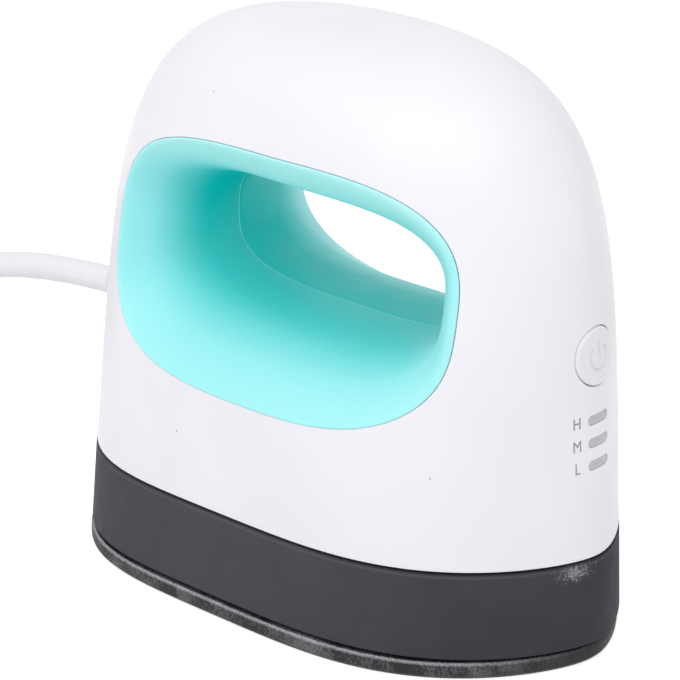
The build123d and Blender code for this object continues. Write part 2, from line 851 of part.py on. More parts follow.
with BuildPart() as control_board:
    with BuildSketch(Plane.YZ.offset(board_rear)):
        with Locations((0, board_middle)):
            RectangleRounded(board_width, board_top - board_foot, 1)
        for height in board_hole_heights:
            with Locations((0, height)):
                with GridLocations(post_spacing, 1, 2, 1):
                    Circle(board_screw_diameter / 2 + screw_clearance, mode=Mode.SUBTRACT)
        with Locations((0, lamp_heights[1])):
            with GridLocations(guide_pin_spacing, 1, 2, 1):
                Circle(guide_pin_diameter / 2 + fit_gap, mode=Mode.SUBTRACT)
    extrude(amount=board_thickness)
control_board.part.label = "control_board"
export_step(control_board.part, "parts/control_board.step")

with BuildPart() as board_screws:
    for height in board_hole_heights:
        for side in (-1, 1):
            seat = Plane(origin=(board_front, side * post_spacing / 2, height), z_dir=(1, 0, 0))
            add(screw(seat, board_screw_diameter, board_thickness + board_screw_length - tip_gap))
board_screws.part.label = "board_screws"
export_step(board_screws.part, "parts/board_screws.step")

with BuildPart() as tact_switch:
    with BuildSketch(Plane.YZ.offset(board_front)):
        with Locations((0, button_height)):
            RectangleRounded(switch_side, switch_side, switch_corner)
    extrude(amount=switch_body_height)
    with BuildSketch(Plane.YZ.offset(switch_top)):
        with Locations((0, button_height)):
            Circle(plunger_diameter / 2 + plunger_gap)
    extrude(amount=-(plunger_rise + 2 * button_travel + plunger_gap), mode=Mode.SUBTRACT)
    # Four flat legs on the board.
    with BuildSketch(Plane.YZ.offset(board_front)):
        with Locations((0, button_height)):
            with GridLocations(switch_side + 2 * switch_leg_overhang, switch_leg_pitch, 2, 2):
                Rectangle(switch_leg_length, switch_leg_width)
    extrude(amount=switch_leg_thickness)
tact_switch.part.label = "tact_switch"
export_step(tact_switch.part, "parts/tact_switch.step")

with BuildPart() as switch_plunger:
    with BuildSketch(Plane.YZ.offset(switch_top - plunger_rise - button_travel)):
        with Locations((0, button_height)):
            Circle(plunger_diameter / 2)
    extrude(amount=2 * plunger_rise + button_travel)
switch_plunger.part.label = "switch_plunger"
export_step(switch_plunger.part, "parts/switch_plunger.step")

button_form = outer_form.moved(Location((button_proud, 0, 0)))

with BuildPart() as power_button:
    with BuildSketch(Plane.YZ.offset(flange_rear)):
        with Locations((0, button_height)):
            Circle(button_diameter / 2)
    extrude(amount=base_length / 2 - flange_rear)
    add(button_form, mode=Mode.INTERSECT)
    fillet(power_button.faces().sort_by(Axis.X)[-1].edges(), button_edge)
    with BuildSketch(Plane.YZ.offset(flange_rear)):
        with Locations((0, button_height)):
            Circle(button_flange_diameter / 2)
    extrude(amount=button_flange_thickness)
power_button.part.label = "power_button"
export_step(power_button.part, "parts/power_button.step")

with BuildPart() as indicator_leds:
    for height in lamp_heights:
        with BuildSketch(Plane.YZ.offset(board_front)):
            with Locations((0, height)):
                Rectangle(led_length, led_width)
        extrude(amount=led_base)
        with BuildSketch(Plane.YZ.offset(board_front + led_base)):
            with Locations((0, height)):
                Rectangle(led_length * 0.7, led_width * 0.9)
        extrude(amount=led_dome, taper=15)
indicator_leds.part.label = "indicator_leds"
export_step(indicator_leds.part, "parts/indicator_leds.step")

# One clear moulding: a plate with three bars to the windows and two pins.
lens_form = outer_form.moved(Location((-lens_recess, 0, 0)))

with BuildPart() as light_guide:
    with BuildSketch(Plane.YZ.offset(guide_rear)):
        for height in lamp_heights:
            with Locations((0, height)):
                SlotOverall(lens_length, lens_height)
    extrude(amount=base_length / 2 - guide_rear)
    add(lens_form, mode=Mode.INTERSECT)
    with BuildSketch(Plane.YZ.offset(guide_rear)):
        with Locations((0, lamp_heights[1])):
            RectangleRounded(
                lens_length + 2 * guide_margin, lamp_heights[0] - lamp_heights[2] + 2 * guide_margin, 1
            )
    extrude(amount=guide_plate)
    with BuildSketch(Plane.YZ.offset(guide_rear)):
        with Locations((0, lamp_heights[1])):
            with GridLocations(guide_pin_spacing, 1, 2, 1):
                Circle(guide_pin_diameter / 2)
    extrude(amount=board_rear - guide_rear + fit_gap)
light_guide.part.label = "light_guide"
export_step(light_guide.part, "parts/light_guide.step")

with BuildPart() as terminal_block:
    with BuildSketch(Plane.YZ.offset(board_rear)):
        with Locations((0, lead_height + terminal_height * 0.05)):
            Rectangle(4 * terminal_pitch, terminal_height)
    extrude(amount=-terminal_depth)
    with BuildSketch(Plane.YZ.offset(board_rear - terminal_depth)):
        with Locations((0, lead_height)):
            with GridLocations(terminal_pitch, 1, 4, 1):
                Circle(core_diameter / 2 + 2 * fit_gap)
    extrude(amount=lead_entry, mode=Mode.SUBTRACT)
    with BuildSketch(Plane.XY.offset(lead_height + terminal_height * 0.55)):
        with Locations((board_rear - terminal_depth * 0.55, 0)):
            with GridLocations(1, terminal_pitch, 1, 4):
                Circle(terminal_pitch * 0.36)
    extrude(amount=-terminal_height * 0.25, mode=Mode.SUBTRACT)
terminal_block.part.label = "terminal_block"
export_step(terminal_block.part, "parts/terminal_block.step")

with BuildPart() as film_capacitor:
    with BuildSketch(Plane.YZ.offset(board_rear)):
        with Locations((0, film_height)):
            RectangleRounded(film_width, film_rise, film_corner)
    extrude(amount=-film_depth)
film_capacitor.part.label = "film_capacitor"
export_step(film_capacitor.part, "parts/film_capacitor.step")

with BuildPart() as smoothing_capacitor:
    with BuildSketch(Plane.YZ.offset(board_front)):
        with Locations(smoothing_place):
            Circle(smoothing_diameter / 2)
    extrude(amount=smoothing_length)
    fillet(smoothing_capacitor.edges().group_by(Axis.X)[-1], smoothing_edge)
smoothing_capacitor.part.label = "smoothing_capacitor"
export_step(smoothing_capacitor.part, "parts/smoothing_capacitor.step")

with BuildPart() as power_triac:
    with BuildSketch(Plane.YZ.offset(board_front)):
        with Locations(triac_place):
            RectangleRounded(triac_width, triac_rise, triac_corner)
            Circle(triac_hole / 2, mode=Mode.SUBTRACT)
    extrude(amount=triac_thickness)
    with BuildSketch(Plane.YZ.offset(board_front)):
        with Locations((triac_place[0], triac_place[1] - triac_leg_drop)):
            with GridLocations(triac_leg_pitch, 1, 3, 1):
                Rectangle(triac_leg_width, triac_leg_length)
    extrude(amount=triac_leg_thickness)
power_triac.part.label = "power_triac"
export_step(power_triac.part, "parts/power_triac.step")

with BuildPart() as controller_chip:
    with BuildSketch(Plane.YZ.offset(board_front)):
        with Locations(chip_place):
            Rectangle(chip_width, chip_rise)
    extrude(amount=chip_thickness)
    with BuildSketch(Plane.YZ.offset(board_front)):
        with Locations(chip_place):
            with GridLocations(1, chip_leg_pitch, 1, chip_legs):
                Rectangle(chip_leg_span, chip_leg_width)
    extrude(amount=chip_leg_thickness)
controller_chip.part.label = "controller_chip"
export_step(controller_chip.part, "parts/controller_chip.step")

with BuildPart() as fusible_resistor:
    with BuildSketch(Plane.XY.offset(resistor_foot)):
        with Locations((board_front + resistor_diameter / 2, resistor_y)):
            Circle(resistor_diameter / 2)
    extrude(amount=resistor_length)
    with BuildSketch(Plane.XY.offset(resistor_foot - resistor_wire_reach)):
        with Locations((board_front + resistor_diameter / 2, resistor_y)):
            Circle(resistor_wire_diameter / 2)
    extrude(amount=resistor_length + 2 * resistor_wire_reach)
fusible_resistor.part.label = "fusible_resistor"
export_step(fusible_resistor.part, "parts/fusible_resistor.step")

with BuildPart() as sensor_connector:
    with BuildSketch(Plane.YZ.offset(board_rear)):
        with Locations((0, connector_height)):
            Rectangle(connector_width, connector_rise)
    extrude(amount=-connector_depth)
    with BuildSketch(Plane.YZ.offset(board_rear - connector_depth)):
        with Locations((0, connector_height)):
            with GridLocations(sensor_pitch, 1, 2, 1):
                Circle(sensor_lead_diameter / 2 + fit_gap)
    extrude(amount=connector_entry, mode=Mode.SUBTRACT)
sensor_connector.part.label = "sensor_connector"
export_step(sensor_connector.part, "parts/sensor_connector.step")

# ---- Leads inside the housing --------------------------------------------------
lead_end = board_rear - terminal_depth + lead_entry - lead_stop
sensor_end = board_rear - connector_depth + connector_entry - lead_stop

with BuildPart() as mains_leads:
    for side in (-1, 1):
        add(tube(
            [
                (jacket_end, side * core_spacing / 2, cord_height),
                (-26, side * core_spacing / 2, cord_height),
                (-10, side * 4.4, 24.5),
                (14, side * terminal_pitch * 1.5, lead_height),
                (lead_end, side * terminal_pitch * 1.5, lead_height),
            ],
            core_diameter,
        ))
mains_leads.part.label = "mains_leads"
export_step(mains_leads.part, "parts/mains_leads.step")

with BuildPart() as heater_leads:
    for side in (-1, 1):
        add(tube(
            [
                (lead_x, side * terminal_pitch / 2, heater_top),
                (lead_x, side * terminal_pitch / 2, 16.5),
                (lead_x + 9, side * terminal_pitch / 2, lead_height),
                (lead_end, side * terminal_pitch / 2, lead_height),
            ],
            core_diameter,
        ))
heater_leads.part.label = "heater_leads"
export_step(heater_leads.part, "parts/heater_leads.step")

with BuildPart() as sensor_leads:
    for side in (-1, 1):
        offset_y = side * sensor_pitch / 2
        add(tube(
            [
                (clip_x + sensor_length / 2, sensor_y + offset_y, clamp_top + sensor_diameter / 2),
                (clip_x + sensor_length / 2 + 5, sensor_y + offset_y, clamp_top + sensor_diameter / 2),
                (12, -10.4 + offset_y, 17.5),
                (26, offset_y, connector_height),
                (sensor_end, offset_y, connector_height),
            ],
            sensor_lead_diameter,
        ))
sensor_leads.part.label = "sensor_leads"
export_step(sensor_leads.part, "parts/sensor_leads.step")

# ---- Cord entry ------------------------------------------------------------------
rear_face = shell_size(cord_height - relief_nose_diameter / 2)[0]

with BuildPart() as strain_relief:
    # Nose outside, neck in the wall, flange inside and a sleeve under the clamp.
    with BuildSketch(Plane.XZ):
        with BuildLine():
            Polyline(
                (-rear_face - relief_outside, cord_height + cord_diameter / 2 + relief_gap),
                (-rear_face - relief_outside, cord_height + relief_tip_diameter / 2),
                (-rear_face - fit_gap, cord_height + relief_nose_diameter / 2),
                (-rear_face - fit_gap, cord_height + relief_diameter / 2),
                (-rear_face + relief_neck, cord_height + relief_diameter / 2),
                (-rear_face + relief_neck, cord_height + relief_flange_diameter / 2),
                (-rear_face + relief_neck + relief_flange, cord_height + relief_flange_diameter / 2),
                (-rear_face + relief_neck + relief_flange, cord_height + relief_diameter / 2),
                (jacket_end - 1, cord_height + relief_diameter / 2),
                (jacket_end - 1, cord_height + cord_diameter / 2 + relief_gap),
                close=True,
            )
        make_face()
    revolve(axis=Axis((0, 0, cord_height), (1, 0, 0)))
strain_relief.part.label = "strain_relief"
export_step(strain_relief.part, "parts/strain_relief.step")

clamp_under = cord_height - relief_diameter / 2 - fit_gap - clamp_bar

with BuildPart() as cord_clamp:
    with BuildSketch(Plane.XY.offset(clamp_under)):
        with Locations((clamp_x, 0)):
            RectangleRounded(clamp_length, clamp_width, clamp_corner)
            with GridLocations(1, clamp_screw_spacing, 1, 2):
                Circle(clamp_screw_diameter / 2 + screw_clearance, mode=Mode.SUBTRACT)
    extrude(amount=cord_height - clamp_split - clamp_under)
    with BuildSketch(Plane.YZ.offset(clamp_x - clamp_length / 2)):
        with Locations((0, cord_height)):
            Circle(relief_diameter / 2 + fit_gap)
    extrude(amount=clamp_length, mode=Mode.SUBTRACT)
cord_clamp.part.label = "cord_clamp"
export_step(cord_clamp.part, "parts/cord_clamp.step")

with BuildPart() as cord_clamp_screws:
    for side in (-1, 1):
        seat = Plane(origin=(clamp_x, side * clamp_screw_spacing / 2, clamp_under), z_dir=(0, 0, -1))
        add(screw(seat, clamp_screw_diameter, clamp_screw_length))
cord_clamp_screws.part.label = "cord_clamp_screws"
export_step(cord_clamp_screws.part, "parts/cord_clamp_screws.step")

# ---- Cord, its put-away coil, tie and plug ------------------------------------------
coil_half_across = coil_turns_across * cord_diameter / 2
coil_height = coil_layers * cord_diameter

# The cord leaves the rear level, sinks to the surface and runs into the coil.
cord_route = [
    (jacket_end, 0, cord_height),
    (-65.5, 0, cord_height),
    (-96, -2.5, 32),
    (-121, -10, 15.5),
    (-141, -18.5, cord_diameter / 2),
    (-158, -23.6, cord_diameter / 2),
    (-171, -24, cord_diameter / 2),
]
power_cord = tube(cord_route, cord_diameter)
power_cord.label = "power_cord"
export_step(power_cord, "parts/power_cord.step")
print("cord radii", [round(radius, 1) for radius in corner_radii(cord_route)])

coil_plane = Plane(origin=(coil_x, coil_y, 0), x_dir=(1, 0, 0), z_dir=(0, -1, 0))

with BuildPart() as cord_coil:
    with BuildSketch(coil_plane) as cord_coil_section:
        with Locations((coil_mid_radius, coil_height / 2)):
            Rectangle(2 * coil_half_across, coil_height)
        chamfer(cord_coil_section.vertices(), coil_corner)
    revolve(axis=Axis((coil_x, coil_y, 0), (0, 0, 1)))
cord_coil.part.label = "cord_coil"
export_step(cord_coil.part, "parts/cord_coil.step")

tie_out = Vector(cos(radians(tie_angle)), sin(radians(tie_angle)), 0)
tie_plane = Plane(origin=(coil_x, coil_y, 0), x_dir=tie_out, z_dir=(tie_out.Y, -tie_out.X, 0))

with BuildPart() as cord_tie:
    with BuildSketch(tie_plane):
        with Locations((coil_mid_radius, (coil_height + tie_thickness) / 2)):
            RectangleRounded(
                2 * (coil_half_across + tie_thickness),
                coil_height + tie_thickness,
                coil_corner + tie_thickness,
            )
            RectangleRounded(
                2 * coil_half_across, coil_height - tie_thickness, coil_corner, mode=Mode.SUBTRACT
            )
    extrude(amount=tie_width / 2, both=True)
cord_tie.part.label = "cord_tie"
export_step(cord_tie.part, "parts/cord_tie.step")

# The plug lies flat across the coil, its axis turned in from the inner turn.
plug_axis = Vector(-cos(radians(plug_turn)), sin(radians(plug_turn)), 0)
inner_turn_radius = coil_mid_radius - coil_half_across + cord_diameter / 2
plug_plane = Plane(
    origin=(coil_x, coil_y - inner_turn_radius, coil_height + plug_height / 2),
    x_dir=(-plug_axis.Y, plug_axis.X, 0),
    z_dir=plug_axis,
)
relief_slope = (plug_relief_root - plug_relief_tip) / 2 / plug_relief_length
groove_pitch = plug_relief_length / (plug_relief_grooves + 1)

with BuildPart() as mains_plug:
    with BuildSketch(plug_plane.offset(plug_relief_length)):
        RectangleRounded(plug_width * 0.75, plug_height - 1, plug_corner)
    with BuildSketch(plug_plane.offset(plug_relief_length + plug_shoulder)):
        RectangleRounded(plug_width, plug_height, plug_corner)
    loft()
    with BuildSketch(plug_plane.offset(plug_relief_length + plug_shoulder)):
        RectangleRounded(plug_width, plug_height, plug_corner)
    extrude(amount=plug_length - plug_shoulder)
    # Tapered and grooved strain relief.
    with BuildSketch(plug_plane):
        Circle(plug_relief_tip / 2)
    with BuildSketch(plug_plane.offset(plug_relief_length)):
        Circle(plug_relief_root / 2)
    loft()
    for groove in range(plug_relief_grooves):
        groove_radius = plug_relief_tip / 2 + relief_slope * groove_pitch * groove - plug_groove_depth
        with BuildSketch(plug_plane.offset(groove_pitch * (groove + 0.6))):
            Rectangle(plug_relief_root * 2, plug_relief_root * 2)
            Circle(groove_radius, mode=Mode.SUBTRACT)
        extrude(amount=groove_pitch * 0.4, mode=Mode.SUBTRACT)
mains_plug.part.label = "mains_plug"
export_step(mains_plug.part, "parts/mains_plug.step")

with BuildPart() as plug_blades:
    for side in (-1, 1):
        with BuildSketch(plug_plane.offset(plug_relief_length + plug_length)):
            with Locations((side * blade_spacing / 2, 0)):
                Rectangle(blade_thickness, blade_width)
        extrude(amount=blade_length)
    chamfer(plug_blades.faces().sort_by(Axis(plug_plane.origin, plug_axis))[-2:].edges(), blade_thickness / 4)
    hole_reach = plug_relief_length + plug_length + blade_length - blade_hole_edge - blade_hole / 2
    hole_middle = plug_plane.offset(hole_reach)
    with BuildSketch(Plane(origin=hole_middle.origin, x_dir=plug_axis, z_dir=plug_plane.x_dir)):
        Circle(blade_hole / 2)
    extrude(amount=blade_spacing, both=True, mode=Mode.SUBTRACT)
plug_blades.part.label = "plug_blades"
export_step(plug_blades.part, "parts/plug_blades.step")
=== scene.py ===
"""Looks of a mini handheld heat press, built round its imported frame.

Sizes are in millimetres and become metres when a mesh is made. +X points to the
end with the button, -X to the end with the cord, and +Z up.
"""

import json
import logging
import math
from collections.abc import Iterable, Sequence
from dataclasses import dataclass
from enum import Enum
from functools import partial, reduce

import bmesh
import bpy
from mathutils import Matrix, Vector


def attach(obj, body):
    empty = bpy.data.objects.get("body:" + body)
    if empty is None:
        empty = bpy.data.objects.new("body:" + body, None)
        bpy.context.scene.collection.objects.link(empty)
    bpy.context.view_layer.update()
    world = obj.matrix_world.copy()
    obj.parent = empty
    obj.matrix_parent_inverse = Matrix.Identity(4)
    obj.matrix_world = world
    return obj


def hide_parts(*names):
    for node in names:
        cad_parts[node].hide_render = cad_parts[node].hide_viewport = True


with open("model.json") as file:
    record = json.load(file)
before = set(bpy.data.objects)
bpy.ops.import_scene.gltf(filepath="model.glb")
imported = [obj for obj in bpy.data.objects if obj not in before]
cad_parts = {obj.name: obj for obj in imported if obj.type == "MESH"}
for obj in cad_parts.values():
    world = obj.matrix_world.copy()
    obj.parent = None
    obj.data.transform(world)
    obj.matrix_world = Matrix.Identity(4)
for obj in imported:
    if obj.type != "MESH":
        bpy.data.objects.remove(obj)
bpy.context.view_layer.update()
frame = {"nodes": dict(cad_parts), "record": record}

log = logging.getLogger("heat_press")

MM = 0.001
WHITE = (1.0, 1.0, 1.0, 1.0)
WELD = MM / 1000
FULL_TURN = 2 * math.pi
QUARTER_TURN = FULL_TURN / 4
# Keeps a corner's radius just under half the width, so that its sides don't vanish.
NEARLY = 0.999
ACROSS, UP = Vector((0, 1, 0)), Vector((0, 0, 1))
# How many points go round outlines, from the button's to a stroke's.
LARGE, MIDDLE, SMALL, TINY = 96, 64, 32, 16
BEND_STEPS = 4

Ring = list[Vector]
Skin = bmesh.types.BMesh
Piece = bpy.types.Object
Socket = bpy.types.NodeSocket
Tree = bpy.types.NodeTree


class Body(Enum):
    """The two rigid bodies of the press."""

    HOUSING = "housing"
    BUTTON = "button"


# ---- Lines and skins -----------------------------------------------------------------


def between(start: float, end: float, share: float) -> float:
    """Gives the value at a share of the way from a start to an end."""
    return start + (end - start) * share


def smooth_step(value: float) -> float:
    """Eases a value from 0 to 1 in and out."""
    share = min(max(value, 0.0), 1.0)
    return share * share * (3 - 2 * share)


def turns(count: int) -> list[float]:
    """Gives evenly spaced angles, once round."""
    return [FULL_TURN * step / count for step in range(count)]


def quarter_round(radius: float, steps: int) -> list[tuple[float, float]]:
    """Draws a rounded edge, as each point's distances from the two sides that it joins."""
    angles = [QUARTER_TURN * step / steps for step in range(steps + 1)]
    return [(radius * (1 - math.cos(angle)), radius * (1 - math.sin(angle))) for angle in angles]


def spread(line: Sequence[Vector], count: int, closed: bool) -> Ring:
    """Places points evenly along a line.

    Args:
        line: Points along the line, close together.
        count: How many points to place.
        closed: Whether the line's end joins its start.

    Returns:
        The new points, which start at the line's first point.
    """
    stops = list(line) + [line[0]] if closed else list(line)
    travelled = [0.0]
    for start, end in zip(stops, stops[1:]):
        travelled.append(travelled[-1] + (end - start).length)
    gaps = count if closed else count - 1
    placed, index = [], 0
    for step in range(count):
        wanted = travelled[-1] * step / gaps
        while index < len(stops) - 2 and travelled[index + 1] < wanted:
            index += 1
        length = travelled[index + 1] - travelled[index]
        share = (wanted - travelled[index]) / length if length else 0.0
        placed.append(stops[index].lerp(stops[index + 1], min(share, 1.0)))
    return placed


def bend(start: Vector, corner: Vector, end: Vector, steps: int = BEND_STEPS) -> Ring:
    """Rounds a corner with a curve that is tangent to both its sides.

    Args:
        start: Where the curve leaves the first side.
        corner: The sharp corner.
        end: Where the curve meets the second side.
        steps: How many stretches the curve has.

    Returns:
        The curve's points, both ends among them.
    """
    shares = [step / steps for step in range(steps + 1)]
    return [start.lerp(corner, share).lerp(corner.lerp(end, share), share) for share in shares]


def ring_edges(skin: Skin, ring: list) -> list:
    """Gives the edges that join a closed ring's vertices."""
    return [skin.edges.get(pair) for pair in zip(ring, ring[1:] + ring[:1])]


def grow(skin: Skin, ring: list, places: Ring) -> list:
    """Extrudes a closed ring of vertices to new places.

    Args:
        skin: The mesh that the ring is part of.
        ring: The ring's vertices, in order.
        places: Where each new vertex goes, in millimetres.

    Returns:
        The new ring's vertices, in the same order.
    """
    made = bmesh.ops.extrude_edge_only(skin, edges=ring_edges(skin, ring))["geom"]
    fresh = {part for part in made if isinstance(part, bmesh.types.BMVert)}
    grown = []
    for vert, place in zip(ring, places):
        new = next(e.other_vert(vert) for e in vert.link_edges if e.other_vert(vert) in fresh)
        new.co = place * MM
        grown.append(new)
    return grown


class End(Enum):
    """How the end of a skin is closed."""

    FLAT = "flat"
    POINT = "point"
    JOINED = "joined"


def skin_over(rings: Sequence[Ring], first: End = End.FLAT, last: End | None = None) -> Skin:
    """Covers a row of rings with one closed skin.

    Args:
        rings: Rings with as many points each, in millimetres.
        first: How the first ring is closed.
        last: How the last ring is closed, which is as the first when left out.

    Returns:
        The skin, with its faces pointing outwards.
    """
    skin = bmesh.new()
    made = bmesh.ops.create_circle(skin, segments=len(rings[0]), radius=1.0)["verts"]
    ring = sorted(made, key=lambda vert: math.atan2(vert.co.y, vert.co.x) % FULL_TURN)
    for vert, place in zip(ring, rings[0]):
        vert.co = place * MM
    ends = [ring]
    for places in rings[1:]:
        ring = grow(skin, ring, places)
    ends.append(ring)
    for verts, how in zip(ends, (first, last or first)):
        if how is End.POINT:
            middle = sum((vert.co for vert in verts), Vector()) / len(verts)
            bmesh.ops.pointmerge(skin, verts=verts, merge_co=middle)
        elif how is End.FLAT:
            bmesh.ops.contextual_create(skin, geom=ring_edges(skin, verts))
    if first is End.JOINED:
        bmesh.ops.remove_doubles(skin, verts=skin.verts, dist=WELD)
    bmesh.ops.recalc_face_normals(skin, faces=skin.faces)
    return skin


def round_ring(centre: Vector, across: Vector, up: Vector, count: int, width: float, height: float = 0.0) -> Ring:
    """Makes an ellipse of points.

    Args:
        centre: The ellipse's centre.
        across: Unit direction of its width.
        up: Unit direction of its height.
        count: How many points it has.
        width: Half its width.
        height: Half its height, or 0 for a circle.

    Returns:
        The ring.
    """
    tall = height or width
    return [centre + across * width * math.cos(a) + up * tall * math.sin(a) for a in turns(count)]


def tube(spots: Iterable[tuple[float, float]], y: float, z: float, count: int) -> list[Ring]:
    """Makes circles about a line along X.

    Args:
        spots: Each circle's X and radius.
        y: The line's Y.
        z: The line's Z.
        count: How many points a circle has.

    Returns:
        The rings.
    """
    return [round_ring(Vector((x, y, z)), ACROSS, UP, count, radius) for x, radius in spots]


def rounded_box(half_width: float, half_height: float, corner: float, count: int, steps: int = 12) -> Ring:
    """Makes a rectangle with round corners, in the plane of X and Y.

    Args:
        half_width: Half its size along X.
        half_height: Half its size along Y.
        corner: The corners' radius.
        count: How many points it has.
        steps: How many stretches a corner is drawn with before they are spread.

    Returns:
        The ring, evenly spaced, which starts at the middle of its +X side.
    """
    dense = [Vector((half_width, 0, 0))]
    for quarter, (sign_x, sign_y) in enumerate(((1, 1), (-1, 1), (-1, -1), (1, -1))):
        centre = Vector((sign_x * (half_width - corner), sign_y * (half_height - corner), 0))
        for step in range(steps + 1):
            angle = QUARTER_TURN * (quarter + step / steps)
            dense.append(centre + corner * Vector((math.cos(angle), math.sin(angle), 0)))
    return spread(dense, count, closed=True)


# ---- The body's form -----------------------------------------------------------------


@dataclass(frozen=True)
class BodyForm:
    """The shell's outer form: an oval plan that shrinks to a crown.

    Its plan outline is |x/a|^p + |y/b|^q = 1, with its own powers at each end. Both
    powers are made smooth at zero.
    """

    seam_height: float = 19.1
    total_height: float = 97.8
    half_length: float = 51.9
    half_width: float = 31.0
    front_powers: tuple[float, float] = (3.1, 1.34)
    front_crown_powers: tuple[float, float] = (1.6, 2.12)
    rear_powers: tuple[float, float] = (4.9, 1.0)
    rear_crown_powers: tuple[float, float] = (2.6, 2.02)
    length_crown: tuple[float, float, float] = (0.12, 4.8, 3.8)
    width_crown: tuple[float, float, float] = (0.14, 5.8, 3.1)
    softness: float = 0.12
    profile_power: float = 5.3
    profile_steps: int = 400
    outline_points: int = 720
    ring_points: int = 200
    least_size: float = 1e-4

    def raised(self, share: float, power: float) -> float:
        """Raises a share to a power that is made smooth at zero."""
        whole = (1 + self.softness**2) ** (power / 2) - self.softness**power
        return ((share * share + self.softness**2) ** (power / 2) - self.softness**power) / whole

    def rooted(self, value: float, power: float) -> float:
        """Finds the share that `raised` turns into a value.

        Args:
            value: The value.
            power: The power that `raised` had.

        Returns:
            The share, which is at least 0.
        """
        whole = (1 + self.softness**2) ** (power / 2) - self.softness**power
        square = (max(value, 0.0) * whole + self.softness**power) ** (2 / power) - self.softness**2
        return math.sqrt(max(square, 0.0))

    def rise(self, height: float, inset: float = 0.0) -> float:
        """Gives the share of the way from the seam to the crown."""
        share = (height - self.seam_height) / (self.total_height - inset - self.seam_height)
        return min(max(share, 0.0), 1.0)

    def powers(self, x: float, rise: float) -> tuple[float, float]:
        """Gives the outline's powers along and across.

        Args:
            x: A place at the wanted end.
            rise: How far up the body it lies, from 0 at the seam to 1 at the crown.

        Returns:
            The power along X and the power along Y.
        """
        front = self.front_powers, self.front_crown_powers
        rear = self.rear_powers, self.rear_crown_powers
        seam, crown = front if x >= 0 else rear
        return between(seam[0], crown[0], rise), between(seam[1], crown[1], rise)

    def half_sizes(self, height: float, inset: float = 0.0) -> tuple[float, float]:
        """Gives half the length and half the width at one height.

        Args:
            height: The height.
            inset: How far the wall is drawn in.

        Returns:
            Both half sizes, which never get down to zero.
        """
        rise = self.rise(height, inset)
        sizes = []
        for half, crown in ((self.half_length, self.length_crown), (self.half_width, self.width_crown)):
            taper, power, root = crown
            size = (half - inset) * (1 - taper * rise) * (1 - rise**power) ** (1 / root)
            sizes.append(max(size, self.least_size))
        return sizes[0], sizes[1]

    def outline(
        self, height: float, half_length: float, half_width: float, rise: float = 0.0, nose_step: float = 0.0
    ) -> Ring:
        """Makes a ring with the plan outline.

        Args:
            height: Where the ring lies.
            half_length: Half its length.
            half_width: Half its width.
            rise: How far up the body its powers are taken.
            nose_step: How far its nose is set back.

        Returns:
            The ring, evenly spaced from the middle of the nose.
        """
        dense = []
        for angle in turns(self.outline_points):
            across, up = math.cos(angle), math.sin(angle)
            along_power, across_power = self.powers(across, rise)
            x = math.copysign(self.rooted(across**2, along_power), across)
            y = math.copysign(self.rooted(up**2, across_power), up)
            reach = half_length - nose_step if across > 0 else half_length
            dense.append(Vector((reach * x, half_width * y, height)))
        return spread(dense, self.ring_points, closed=True)

    def ring(self, height: float, inset: float = 0.0) -> Ring:
        """Makes the body's own ring at one height, drawn in by an inset."""
        return self.outline(height, *self.half_sizes(height, inset), self.rise(height, inset))

    def wall_heights(self, count: int, inset: float = 0.0) -> list[float]:
        """Spaces heights from the seam to just under the crown, evenly along the wall.

        Args:
            count: How many heights there are, with the crown's own.
            inset: How far the wall is drawn in.

        Returns:
            The heights from the seam up, without the crown's.
        """
        top = self.total_height - inset
        profile = []
        for step in range(self.profile_steps + 1):
            share = math.sin(QUARTER_TURN * step / self.profile_steps) ** (2 / self.profile_power)
            height = self.seam_height + share * (top - self.seam_height)
            profile.append(Vector((self.half_sizes(height, inset)[0], height, 0)))
        return [point.y for point in spread(profile, count, closed=False)][:-1]

    def level(self, x: float, y: float, z: float) -> float:
        """Tells how far a point is outside the form.

        Args:
            x: Its place along the form.
            y: Its place across it.
            z: Its height.

        Returns:
            0 on the form, more outside it and less inside.
        """
        half_length, half_width = self.half_sizes(z)
        along, across = self.powers(x, self.rise(z))
        return self.raised(abs(x) / half_length, along) + self.raised(abs(y) / half_width, across) - 1

    def slope(self, point: Vector, step: float = 0.002) -> Vector:
        """Gives the level's change per millimetre along each axis.

        Args:
            point: Where it is taken.
            step: How far to both sides of the point it is measured.

        Returns:
            The slope, which points outwards.
        """
        x, y, z = point
        return Vector((
            self.level(x + step, y, z) - self.level(x - step, y, z),
            self.level(x, y + step, z) - self.level(x, y - step, z),
            self.level(x, y, z + step) - self.level(x, y, z - step),
        )) / (2 * step)

    def side_at(self, x: float, z: float) -> float:
        """Finds the side wall.

        Args:
            x: The place along the form.
            z: The height.

        Returns:
            The wall's distance from the middle plane.
        """
        half_length, half_width = self.half_sizes(z)
        along, across = self.powers(x, self.rise(z))
        return half_width * self.rooted(1 - self.raised(abs(x) / half_length, along), across)

    def nose_at(self, y: float, z: float) -> float:
        """Finds the front wall.

        Args:
            y: The place across the form.
            z: The height.

        Returns:
            The wall's X.
        """
        half_length, half_width = self.half_sizes(z)
        along, across = self.powers(1.0, self.rise(z))
        return half_length * self.rooted(1 - self.raised(abs(y) / half_width, across), along)


# ---- Materials -----------------------------------------------------------------------

# Where most of a noise's values lie, and the part of them that makes soft clouds.
NOISE_RANGE = (0.3, 0.7)
CLOUD_RANGE = (0.35, 0.7)


def linear(colour: str) -> tuple[float, float, float, float]:
    """Turns an sRGB hex colour into linear red, green, blue and alpha."""
    channels = [int(colour[start:start + 2], 16) / 255 for start in (1, 3, 5)]
    return *(c / 12.92 if c <= 0.04045 else ((c + 0.055) / 1.055) ** 2.4 for c in channels), 1.0


def per_size(size: float) -> float:
    """Gives a texture's scale for features of one size in millimetres."""
    return 1 / (size * MM)


